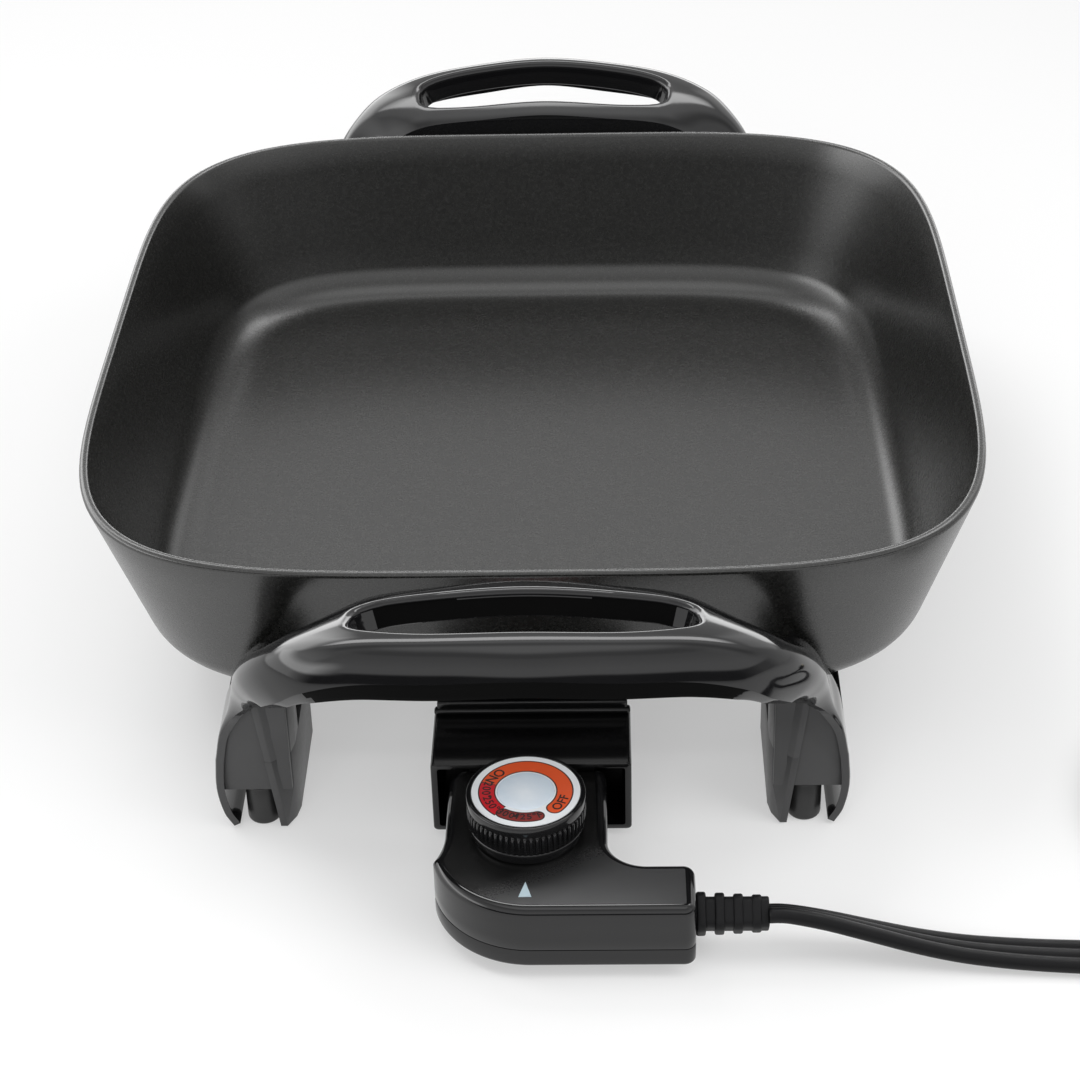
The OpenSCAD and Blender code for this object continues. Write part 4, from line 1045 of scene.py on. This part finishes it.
# columns across a station: shares of the crown, then the rounding and the lower edge; and the
# window of stations and columns in which the finger slot lies
CROWN = (0, 0.12, 0.2, 0.3, 0.4, 0.5, 0.6, 0.7, 0.79, 0.87, 0.95, 1.0)
FIRST_SLOT, LAST_SLOT = 2, len(CROWN)
ROUND = 8
ROUND_TURN = math.radians(60)
LOWER = 4
PATCH_T = 2.5
FLANGE, FLANGE_LOW = 9.0, 0.9


def knot(k, c):
    """Value c of station k; before the first one they are mirrored."""
    s = STATIONS[min(abs(k), LAST)]
    return -s[c] if k < 0 and c == 0 else s[c]


def smooth(t, c):
    """Value c at station t, on a smooth curve through the stations."""
    k = min(int(math.floor(t)), LAST - 1)
    f = t - k
    p0, p1, p2, p3 = (knot(k + i, c) for i in (-1, 0, 1, 2))
    z0, z1, z2, z3 = (knot(k + i, 1) for i in (-1, 0, 1, 2))
    leg = c < 2 and k >= LEG_FROM
    m1 = 0 if c == 2 and k >= LEG_FROM else (p2 - p0) * ((z2 - z1) / (z2 - z0) if leg else 0.5)
    if c == 2 and k >= LEG_FROM - 1:
        m2 = 0
    else:
        m2 = (p3 - p1) * ((z2 - z1) / (z3 - z1) if leg and z3 != z1 else 0.5)
    return ((2 * f ** 3 - 3 * f * f + 1) * p1 + (f ** 3 - 2 * f * f + f) * m1
            + (3 * f * f - 2 * f ** 3) * p2 + (f ** 3 - f * f) * m2)


def crest_normal(t):
    """Direction (x, z) away from the bow, square to its crest."""
    if t == 0:
        return 0.0, 1.0
    a, b = max(t - 0.05, 0), min(t + 0.05, LAST)
    dx, dz = smooth(b, 0) - smooth(a, 0), smooth(b, 1) - smooth(a, 1)
    n = math.hypot(dx, dz)
    return -dz / n, dx / n


def at(t, y, depth):
    """A point at station t, at a distance from the middle of the pan, at a depth."""
    n = crest_normal(t)
    return smooth(t, 0) - n[0] * depth, y, smooth(t, 1) - n[1] * depth


def crown(t, y):
    """Depth of the crown under the crest."""
    s = (y - smooth(t, 2)) / (smooth(t, 3) - smooth(t, 2))
    return smooth(t, 5) * (1 - s) ** 2


def flange(t):
    """Share of the flange at the pan's side of the grip, which fades out in the shoulders."""
    return min(1.0, max(0.0, (4.5 - t) / 2))


def outer(t, c):
    """Column c of the outer skin at station t, as (distance from the middle, depth): the flange's
    edge, the crown, the rounding and the skirt."""
    n = len(CROWN)
    if c == 0:
        return smooth(t, 2), smooth(t, 5) + FLANGE_LOW + flange(t) * (FLANGE - FLANGE_LOW)
    if c <= n:
        y = smooth(t, 2) + CROWN[c - 1] * (smooth(t, 3) - smooth(t, 2))
        return y, crown(t, y)
    if c <= n + ROUND:
        a = ROUND_TURN * (c - n) / ROUND
        out = math.sin(a) / math.sin(ROUND_TURN)
        down = (1 - math.cos(a)) / (1 - math.cos(ROUND_TURN))
        return smooth(t, 3) + out * (smooth(t, 4) - smooth(t, 3)), down * smooth(t, 6)
    share = (c - n - ROUND) / LOWER
    y0, d0, y1, d1 = smooth(t, 4), smooth(t, 6), smooth(t, 7), smooth(t, 8)
    return y0 + (y1 - y0) * share, d0 + (d1 - d0) * share


def inner(t, c):
    """The same column on the inside skin."""
    p = outer(t, c)
    n = len(CROWN)
    w = flange(t)
    if c == 0:
        return p[0] + SHELL * w, p[1] + (1 - w) * (SHELL - FLANGE_LOW)
    if c <= n:
        return p[0] + (max(0.5, SHELL * w) if c == 1 else 0), p[1] + SHELL
    skirt = min(1, max(0, (smooth(t, 8) - SHELL) / 5))
    a = math.radians(min(66, (c - n) / ROUND * 66))
    if c <= n + ROUND:
        curved = p[0] - SHELL * math.sin(a), p[1] + SHELL * math.cos(a)
    else:
        curved = p[0] - SHELL, p[1]
    share = (c - n) / (ROUND + LOWER)
    flat = smooth(t, 3) + share * (smooth(t, 7) - 0.3 - smooth(t, 3)), SHELL
    return tuple(skirt * u + (1 - skirt) * v for u, v in zip(curved, flat))


# the finger slot in shares of its window: half length, middle, half width, rise and corner power;
# then the millimetres of a share, and the depth, lip and wall of its collar
SLOT_HALF, SLOT_MID, SLOT_WIDE, SLOT_RISE, SLOT_POWER = 103 / 2 / 63.2, 0.045, 0.767, 0.05, 3.6
SHARE_X, SHARE_Y = 58, 17
SLOT_DEEP, SLOT_LIP, COLLAR = 10, 2.6, 2.4


def slot_share(q, grow):
    """A point on the slot's edge in the direction of q, grown by a distance."""
    a, b = SLOT_HALF + grow / SHARE_X, SLOT_WIDE + grow / SHARE_Y
    r = 1 / (abs(q[0] / a) ** SLOT_POWER + abs(q[1] / b) ** SLOT_POWER) ** (1 / SLOT_POWER)
    return q[0] * r, SLOT_MID + q[1] * r + SLOT_RISE * (1 - abs(q[1]))


def patch_point(share, depth):
    """A point of the slot's window from its shares, at a depth under the crown."""
    t = abs(share[0]) * PATCH_T
    ya, yb = outer(t, FIRST_SLOT)[0], outer(t, LAST_SLOT)[0]
    y = ya + (share[1] + 1) / 2 * (yb - ya)
    q = at(t, y, crown(t, y) + depth)
    return math.copysign(q[0], share[0]) if share[0] else 0.0, -q[1], q[2]


def bow_mesh():
    """The moulded shell of a handle with its slot and collar: points and faces."""
    per = 8
    ts = []
    for k in range(LAST):
        n = per if k < LEG_FROM else 4
        ts += [k + i / n for i in range(n)]
    ts.append(LAST)
    order = [(-1, t) for t in reversed(ts[1:])] + [(1, t) for t in ts]
    rows, cols = len(order), len(CROWN) + ROUND + LOWER + 1
    points = []
    for inside in (False, True):
        for side, t in order:
            for c in range(cols):
                p = inner(t, c) if inside else outer(t, c)
                q = at(t, p[0], p[1])
                points.append((side * q[0], -q[1], q[2]))
    n = rows * cols
    middle = len(ts) - 1
    reach = int(PATCH_T * per)
    a, b = middle - reach, middle + reach
    faces = []
    for i in range(rows - 1):
        for c in range(cols - 1):
            if a <= i < b and FIRST_SLOT <= c < LAST_SLOT:
                continue
            q = (i * cols + c, i * cols + c + 1, (i + 1) * cols + c + 1, (i + 1) * cols + c)
            faces.append(q)
            faces.append(tuple(k + n for k in reversed(q)))
    for i in range(rows - 1):
        for c in (0, cols - 1):
            u, v = i * cols + c, (i + 1) * cols + c
            faces.append((u, v, v + n, u + n) if c == 0 else (v, u, u + n, v + n))
    for c in range(cols - 1):
        for i in (0, rows - 1):
            u, v = i * cols + c, i * cols + c + 1
            faces.append((v, u, u + n, v + n) if i == 0 else (u, v, v + n, u + n))
    # the rings of the slot, from the skin over a soft lip and down the collar to the inside
    edge = [(a + k, FIRST_SLOT) for k in range(b - a)]
    edge += [(b, FIRST_SLOT + k) for k in range(LAST_SLOT - FIRST_SLOT)]
    edge += [(b - k, LAST_SLOT) for k in range(b - a)]
    edge += [(a, LAST_SLOT - k) for k in range(LAST_SLOT - FIRST_SLOT)]
    shares = []
    for i, c in edge:
        first, last = CROWN[FIRST_SLOT - 1], CROWN[LAST_SLOT - 1]
        across = 2 * (CROWN[c - 1] - first) / (last - first) - 1
        shares.append(((i - middle) / reach, across))
    lip = SLOT_LIP
    rings = []
    for k in (0.3, 0.6, 0.85):
        rings.append([(tuple(u + (v - u) * k for u, v in zip(q, slot_share(q, lip))), 0.0)
                      for q in shares])
    walls = [(lip * (1 - math.sin(w)), lip * (1 - math.cos(w)))
             for w in (math.radians(90 * k / 6) for k in range(7))]
    walls += [(0, SLOT_DEEP - 0.5), (0.35, SLOT_DEEP - 0.1), (COLLAR - 0.35, SLOT_DEEP - 0.1),
              (COLLAR, SLOT_DEEP - 0.5), (COLLAR, SHELL)]
    rings += [[(slot_share(q, grow), depth) for q in shares] for grow, depth in walls]
    m = len(edge)
    starts = []
    for ring in rings:
        starts.append(len(points))
        points += [patch_point(share, depth) for share, depth in ring]
    outside = [i * cols + c for i, c in edge]
    inside = [k + n for k in outside]
    chain = [outside] + [[s + k for k in range(m)] for s in starts] + [inside]
    for r in range(len(chain) - 1):
        for k in range(m):
            j = (k + 1) % m
            faces.append((chain[r][k], chain[r + 1][k], chain[r + 1][j], chain[r][j]))
    return points, faces


# the legs: inner wall, its thickness, front and back face, clearance, web, the back of the wall
# above the web, the station of the foot, and the foot's middle
LEG_IN, LEG_WALL, LEG_FRONT, LEG_BACK, LEG_LIFT, WEB_TOP = 76.5, 2.2, 166, 116, 0.8, 27.4
UPPER_BACK, FOOT_STATION, FOOT = 147.5, 13, (88.2, -159.3)


def wall_front_x(z):
    """Where the inner wall meets the front, which leans outwards upwards."""
    return 80 + 6.2 * z / 50


def wall_ring(z, back):
    """Outline of the inner wall of a leg at a height."""
    return [(LEG_IN, -back, z), (LEG_IN, -LEG_FRONT + 10, z), (LEG_IN + 1, -LEG_FRONT + 5, z),
            (wall_front_x(z), -LEG_FRONT, z), (wall_front_x(z) + LEG_WALL, -LEG_FRONT, z),
            (LEG_IN + 1 + LEG_WALL, -LEG_FRONT + 5, z), (LEG_IN + LEG_WALL, -LEG_FRONT + 10, z),
            (LEG_IN + LEG_WALL, -back, z)]


def leg_span(low, high):
    """Outline (x, z) of a plate across the leg, from the inner wall to the middle of the bow."""
    out = [(LEG_IN + LEG_WALL / 2, low), (LEG_IN + LEG_WALL / 2, high)]
    bow = [at(k / 2, 0, SHELL / 2) for k in range(14, 2 * LAST + 1)]
    out += [(x, z) for x, _, z in bow if low < z < high]
    return out + [(at(FOOT_STATION, 0, SHELL / 2)[0] + (1.5 if low > 10 else 0), low)]


def leg_parts():
    """The walls, plates, web and foot post of one leg."""
    parts = []
    lower = [wall_ring(z, LEG_BACK) for z in (LEG_LIFT, 14, WEB_TOP)]
    upper = [wall_ring(z, UPPER_BACK) for z in (WEB_TOP - 0.2, 40, 52)]
    # the walls and plates are painted lighter than the black moulding, as painted reflected light,
    # with a duller finish
    for rings in (lower, upper):
        wall = outward(loft("leg_wall", rings, "leg_edge", smooth=False))
        parts.append(bevel(flatten(wall, 0.002), 0.35, 2, 25))
    for front, thick, low, high in ((LEG_FRONT - 1.4, 2, 15, 50), (150, 2, 5, WEB_TOP + 6)):
        span = leg_span(low, high)
        n = len(span)
        points = [(x, y, z) for y in (-front, -front + thick) for x, z in span]
        faces = [tuple(range(n)), tuple(reversed(range(n, 2 * n)))]
        faces += [(k, (k + 1) % n, n + (k + 1) % n, n + k) for k in range(n)]
        parts.append(bevel(outward(piece("leg_plate", points, faces, "leg_edge",
                                         smooth=False)), 0.3, 2, 40))
    parts.append(block("leg_web", (LEG_IN + 1, -149, WEB_TOP - 3), (LEG_IN + 23.6, -118, WEB_TOP),
                       "glossy_moulding", 0.3, 2))
    parts.append(turned("foot_post", [(0, 15), (4.6, 15), (5, 15.4), (5, 25), (0, 25)],
                        (*FOOT, 0), "glossy_moulding", 40, angle=40))
    return parts


def twin(obj, move):
    """A copy of a piece, mirrored or turned about the middle of the pan."""
    mesh = obj.data.copy()
    middle = Matrix.Translation((0, SHIFT / 1000, 0))
    mesh.transform(middle @ move @ middle.inverted())
    if move.determinant() < 0:
        mesh.flip_normals()
    return link(obj.name, mesh)


# where the bow has other finishes: the legs' front faces are dull and painted lighter, which is
# painted reflected light; the flange behind the slot is painted dark, which is painted shade
LEG_FACING, LEG_FACE_TOP, LEG_FACE_X = -0.8, 0.056, 0.076
FLANGE_FACING, FLANGE_BOTTOM, FLANGE_TOP = -0.93, 0.08, 0.0985


class SKILLET_OT_handles(bpy.types.Operator):
    """Makes the two moulded handles, which run down into the legs."""
    bl_idname = "skillet.handles"
    bl_label = "Handles"

    def execute(self, context):
        points, faces = bow_mesh()
        bow = outward(piece("bow", points, faces, "glossy_moulding"))
        bevel(bow, 0.5, 3, 20)
        bow.data.materials.append(finish("leg_edge"))
        bow.data.materials.append(finish("dark_flange"))
        for p in bow.data.polygons:
            x, _, z = p.center
            if p.normal.y < LEG_FACING and z < LEG_FACE_TOP and abs(x) > LEG_FACE_X:
                p.material_index = 1
            elif p.normal.y < FLANGE_FACING and FLANGE_BOTTOM < z < FLANGE_TOP:
                p.material_index = 2
        parts = leg_parts()
        parts += [twin(p, Matrix.Scale(-1, 4, (1, 0, 0))) for p in parts]
        front = join("front_handle_moulding", [bow] + parts)
        rear = twin(front, Matrix.Rotation(math.pi, 4, "Z"))
        rear.name = "rear_handle_moulding"
        for obj, node in ((front, "front_handle"), (rear, "rear_handle")):
            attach(obj, "skillet")
            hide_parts(node)
        return {"FINISHED"}


class SKILLET_OT_feet(bpy.types.Operator):
    """Makes the four round feet."""
    bl_idname = "skillet.feet"
    bl_label = "Feet"

    def execute(self, context):
        profile = [(0, 0), (4.0, 0)] + arc(4.0, 1.5, 1.5, -90, 0, 5)[1:] + [(5.5, 14.6)]
        profile += [(5.1, 15), (2.8, 15), (2.75, 22.6), (0, 23)]
        x, y = FOOT
        feet = [turned("foot", profile, (sx * x, sy * y, 0), "foot_rubber", 48, angle=50)
                for sx in (-1, 1) for sy in (1, -1)]
        feet = join("round_feet", feet)
        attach(feet, "skillet")
        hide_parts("feet")
        return {"FINISHED"}


# ---------------------------------------------------------------- under the pan

def cut(obj, cutter):
    """Cuts one piece out of another."""
    m = obj.modifiers.new("cut", "BOOLEAN")
    m.operation, m.solver, m.object = "DIFFERENCE", "EXACT", cutter
    apply_modifiers(obj)
    bpy.data.objects.remove(cutter)
    return obj


class SKILLET_OT_underside(bpy.types.Operator):
    """Makes the guard round the pins and the probe's tube, and gives the heater, the pins, the
    tube and the other parts under the pan their finishes.
    """
    bl_idname = "skillet.underside"
    bl_label = "Underside"

    def execute(self, context):
        # the open box: outside from the back to the front and inside back again
        guard_z, pin_z = 16.3, 17
        outer_box = [[(x, y, z + guard_z) for x, z in slab(64 - 2 * d, 27.4 - 2 * d, 1.6, 6)]
                     for y, d in ((-142, 0.6), (-142.6, 0), (-170.5, 0), (-171, 0.5))]
        inner_box = [[(x, y, z + guard_z) for x, z in slab(60, 23.4, 0.9, 6)]
                     for y in (-171, -144)]
        box = outward(loft("guard_box", outer_box + inner_box, "guard_moulding", angle=50))
        # holes for the two pins' insulators and for the probe
        for x, r in ((-13, 4.9), (13, 4.9), (0, 4.85)):
            cutter = turned("cutter", [(0, 0), (r, 0), (r, 6), (0, 6)], (x, -140, pin_z),
                            "guard_moulding", 40, axis="-y", smooth=False)
            cut(box, cutter)
        parts = [block(name, low, high, "guard_moulding", round_by, segments)
                 for name, low, high, round_by, segments in (
                     ("guard_back", (-31, -144.4, 29.4), (31, -142, 34.2), 0.7, 3),
                     ("guard_bead", (-32, -145.2, 29.2), (32, -142, 31.5), 1.0, 4),
                     ("guard_tongue", (-14, -142.4, 26), (14, -112, 28.4), 0.8, 3))]
        guard = join("pin_guard", [box] + parts)
        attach(guard, "skillet")
        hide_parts("terminal_guard")
        dress(heating_element="heater_sheath", element_clips="pressed_steel",
              probe_tube="pressed_steel", terminal_pins="bright_steel",
              pin_insulators="white_ceramic", guard_screws="plated_screw",
              handle_studs="pressed_steel", handle_nuts="plated_screw")
        return {"FINISHED"}


# ---------------------------------------------------------------- temperature control

# heights of the housing, its wall and edge roundings; the neck and the arm of the cord; and the
# two circles of the outline, the round front and the hollow at its left
LOW, TOP, SEAM, CASE, TOP_R, BOTTOM_R = 5.0, 27.5, 11.7, 2.0, 3.0, 1.4
NECK_LEFT, NECK_RIGHT, NECK_BACK, FILLET_R = -26.0, 24.2, 175.0, 12.0
ARM_BACK, ARM_REACH, ARM_R, FRONT = 215.6, 50.6, TOP_R + 0.6, 237.2
BODY_X, BODY_Y, BODY_R, FLARE_X, FLARE_Y, FLARE_R = 1.0, 206.4, 30.8, -55.0, 200.0, 29.0
DECK_AREA = 1e-4


def control_outline(d):
    """Outline of the control seen from above, drawn in by a distance d."""
    span = math.dist((BODY_X, BODY_Y), (FLARE_X, FLARE_Y))
    lean = math.degrees(math.atan2(BODY_Y - FLARE_Y, BODY_X - FLARE_X))

    def meet(r, other):
        return math.degrees(math.acos((r * r + span * span - other * other) / (2 * r * span)))

    corner = 180 - lean + meet(BODY_R - d, FLARE_R + d)
    flare = -lean - meet(FLARE_R + d, BODY_R - d)
    return ([(NECK_LEFT + d, -NECK_BACK), (NECK_LEFT + d + 0.6, -NECK_BACK + 2),
             (NECK_LEFT + 2.0 + d, -NECK_BACK + 7 - d), (NECK_LEFT + 3.4 + d, -NECK_BACK + 8 - d),
             (NECK_RIGHT - 2.0 - d, -NECK_BACK + 8 - d),
             (NECK_RIGHT - 0.9 - d, -NECK_BACK + 7 - d), (NECK_RIGHT - d, -NECK_BACK + 1)]
            + arc(NECK_RIGHT + FILLET_R, -ARM_BACK + FILLET_R, FILLET_R + d, 180, 270, 16)
            + arc(ARM_REACH - ARM_R, -ARM_BACK - ARM_R, max(ARM_R - d, 0.3), 90, 0, 8)
            + arc(ARM_REACH - ARM_R, -FRONT + ARM_R, max(ARM_R - d, 0.3), 0, -90, 8)
            + arc(BODY_X, -BODY_Y, BODY_R - d, 270, corner, 36)
            + arc(FLARE_X, -FLARE_Y, FLARE_R + d, flare + 1, 0, 14))


def shoulder(x, y, z):
    """Lowers the rear end of the top, behind a line across the neck."""
    back = max(0.0, (NECK_BACK + y) / 8)
    return x, y, z - back * 2.6 * max(0.0, (z - SEAM) / (TOP - SEAM))


def control_ring(d, z, sloped=True):
    """The control's outline at a height, with its sloped rear end or level."""
    return [shoulder(x, y, z) if sloped else (x, y, z) for x, y in control_outline(d)]


class SKILLET_OT_control(bpy.types.Operator):
    """Makes the two halves of the control's housing and dresses what is inside it."""
    bl_idname = "skillet.control"
    bl_label = "Temperature control"

    def execute(self, context):
        upper = [control_ring(CASE, TOP - CASE), control_ring(CASE, SEAM, False)]
        upper += [control_ring(0.35, SEAM, False), control_ring(0.1, SEAM + 0.12, False),
                  control_ring(0, SEAM + 0.4)]
        upper += [control_ring(0, z) for z in (SEAM + 4, SEAM + 8.5)]
        upper += [control_ring(TOP_R * (1 - math.cos(a)), TOP - TOP_R * (1 - math.sin(a)))
                  for a in (math.radians(9 * i) for i in range(11))]
        lower = [control_ring(BOTTOM_R * (1 - math.sin(a)), LOW + BOTTOM_R * (1 - math.cos(a)),
                              False) for a in (math.radians(18 * i) for i in range(6))]
        lower += [control_ring(0, SEAM - 0.5, False), control_ring(0.1, SEAM - 0.22, False),
                  control_ring(0.35, SEAM - 0.1, False), control_ring(CASE, SEAM - 0.1, False),
                  control_ring(CASE, LOW + CASE, False)]
        shells = []
        for name, rings in (("control_top", upper), ("control_base", lower)):
            n = len(rings[0])
            points = [p for ring in rings for p in ring]
            faces = skin(len(rings), n)
            faces += [tuple(range(k * n, (k + 1) * n)) for k in (0, len(rings) - 1)]
            shells.append(sharpen(outward(piece(name, points, faces, "glossy_moulding")), 35))
        top, base = shells
        cut(top, turned("cutter", [(0, 0), (4.2, 0), (4.2, 8), (0, 8)], (*DIAL, 22),
                        "glossy_moulding", 40, smooth=False))
        top.data.materials.append(finish("control_top"))
        shade(top)
        # the flat top, which the dial's hole parts into large faces
        for p in top.data.polygons:
            if p.normal.z > 0.99 and p.area > DECK_AREA:
                p.material_index = len(top.data.materials) - 1
        sharpen(top, 35)
        for obj, node in ((top, "upper_housing"), (base, "lower_housing")):
            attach(obj, "control")
            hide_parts(node)
        dress(housing_screws="plated_screw", nose_block="nose_moulding",
              socket_clips="spring_brass", probe="bright_steel", thermostat_frame="pressed_steel",
              bimetal_blade="bimetal", contact_blade="spring_brass", signal_lamp="lamp_glass",
              pointer_mark="pointer_paint")
        return {"FINISHED"}


# ---------------------------------------------------------------- dial

DIAL_TOP = 42.5
# a word of the scale, its middle's angle in degrees and the height of its capitals
WORDS = (("OFF", -27, 3.0), ("ON", 142, 3.3), ("200°", 177, 2.7), ("250°", 209, 2.7),
         ("300°", 245, 2.55), ("425°F", 274, 2.55))


def glyph(letter, size):
    """A letter as a flat mesh with a little thickness, and its width, in millimetres."""
    data = bpy.data.curves.new("letter", "FONT")
    # capitals are 0.729 of the font's size
    data.body, data.size, data.extrude, data.offset = letter, size / 0.729, 0.02, 0.075
    data.resolution_u = 5
    obj = link("letter", data)
    deps = bpy.context.evaluated_depsgraph_get()
    mesh = bpy.data.meshes.new_from_object(obj.evaluated_get(deps))
    bpy.data.objects.remove(obj)
    xs = [v.co.x for v in mesh.vertices]
    return mesh, min(xs), max(xs)


def lettering():
    """The characters of the scale, standing round the dial with their tops to its middle."""
    parts = []
    radius, gap = 12.0, 0.36
    for word, middle, size in WORDS:
        row, width = [], 0.0
        for letter in word:
            mesh, low, high = glyph(letter, size)
            row.append((mesh, low, high, width))
            width += high - low + gap
        width -= gap
        for mesh, low, high, start in row:
            centre = start + (high - low) / 2 - width / 2
            a = math.radians(middle) + centre / radius
            foot = radius + size / 2
            up = Vector((-math.cos(a), -math.sin(a), 0))
            right = Vector((-math.sin(a), math.cos(a), 0))
            base = Vector((*DIAL, DIAL_TOP - 0.085)) - up * foot
            for v in mesh.vertices:
                q = base + right * (v.co.x - (low + high) / 2) + up * v.co.y
                v.co = mm(q.x, q.y, q.z + v.co.z)
            mesh.materials.clear()
            mesh.materials.append(finish("letter_black"))
            parts.append(outward(link("letter", mesh)))
    return join("scale_lettering", parts)


class SKILLET_OT_dial(bpy.types.Operator):
    """Makes the ridged dial with its printed scale and lens."""
    bl_idname = "skillet.dial"
    bl_label = "Dial"

    def execute(self, context):
        base = TOP + 0.3
        profile = [(2.6, base), (16.8, base)] + arc(16.8, base + 0.4, 0.4, -90, 0, 2)[1:]
        profile += [(17.2, base + 1.5), (16.9, base + 1.75), (16.9, base + 1.95)]
        profile += arc(17.45, base + 2.5, 0.4, -90, 0, 3)[1:]
        profile += arc(17.45, base + 3.5, 0.4, 0, 90, 3)
        profile += [(17.2, base + 4.1), (17.2, base + 4.3), (17.6, base + 4.45),
                    (17.6, base + 10.4), (18.2, base + 11.2), (18.4, base + 12.0),
                    (18.35, DIAL_TOP - 1.1)]
        profile += arc(17.6, DIAL_TOP - 0.75, 0.75, 15, 90, 5)
        profile += [(17.0, DIAL_TOP), (16.9, DIAL_TOP - 0.12), (16.88, DIAL_TOP - 0.5)]
        profile += [(2.6, DIAL_TOP - 0.5), (2.6, base)]
        core = turned("dial_core", profile, (*DIAL, 0), "glossy_moulding", 160,
                      caps=(False, False), angle=42)
        # one ridge: a bar with a round face, from the base rings up to the smooth cap
        low, high = base + 4.3, base + 11.3
        face = [(-0.62, -0.5), (-0.62, 0.0), (-0.42, 0.38), (-0.15, 0.56), (0.15, 0.56),
                (0.42, 0.38), (0.62, 0.0), (0.62, -0.5)]
        rings = []
        for z, out in ((low, -0.35), (low + 0.5, 0), (high - 1.2, 0), (high, -0.4)):
            rings.append([((v + (out if v > -0.4 else 0)) / 1000, u / 1000, z / 1000)
                          for u, v in face])
        seed = outward(loft("ridge_seed", rings, "glossy_moulding", in_mm=False))
        ridges = ring_of("dial_ridges", seed, settings().ridges, mm(*DIAL, 0), "glossy_moulding",
                         radius=0.01775)
        knob = join("ridged_dial", [core, ridges])
        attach(knob, "dial")
        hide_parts("dial_knob")
        dress(adjusting_shaft="bright_steel", dial_label="printed_label")
        words = lettering()
        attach(words, "dial")
        z = DIAL_TOP - 0.5
        lens = turned("dial_lens", [(0, z), (8.8, z), (8.8, z + 0.42), (8.66, z + 0.54),
                                    (8.4, z + 0.58), (4.5, z + 0.66), (0, z + 0.68)],
                      (*DIAL, 0), "lens_disc", 96, angle=40)
        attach(lens, "dial")
        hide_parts("signal_lens")
        return {"FINISHED"}


# ---------------------------------------------------------------- panel and making

class SKILLET_PT_panel(bpy.types.Panel):
    """Lists the steps and the settings in the sidebar."""
    bl_idname = "SKILLET_PT_panel"
    bl_label = "Electric skillet"
    bl_space_type = "VIEW_3D"
    bl_region_type = "UI"
    bl_category = "Skillet"

    def draw(self, context):
        column = self.layout.column()
        for step in STEPS:
            column.operator(step.bl_idname, text=step.bl_label)
        for name in SkilletSettings.__annotations__:
            column.prop(context.scene.skillet, name)


STEPS = (SKILLET_OT_stage, SKILLET_OT_cord, SKILLET_OT_pan, SKILLET_OT_handles, SKILLET_OT_feet,
         SKILLET_OT_underside, SKILLET_OT_control, SKILLET_OT_dial)


def register():
    bpy.utils.register_class(SkilletSettings)
    for step in STEPS:
        bpy.utils.register_class(step)
    bpy.utils.register_class(SKILLET_PT_panel)
    bpy.types.Scene.skillet = bpy.props.PointerProperty(type=SkilletSettings)


def unregister():
    del bpy.types.Scene.skillet
    bpy.utils.unregister_class(SKILLET_PT_panel)
    for step in reversed(STEPS):
        bpy.utils.unregister_class(step)
    bpy.utils.unregister_class(SkilletSettings)


def main():
    register()
    bpy.ops.skillet.stage()
    bpy.ops.skillet.cord()
    bpy.ops.skillet.pan()
    bpy.ops.skillet.handles()
    bpy.ops.skillet.feet()
    bpy.ops.skillet.underside()
    bpy.ops.skillet.control()
    bpy.ops.skillet.dial()


if __name__ == "__main__":
    main()
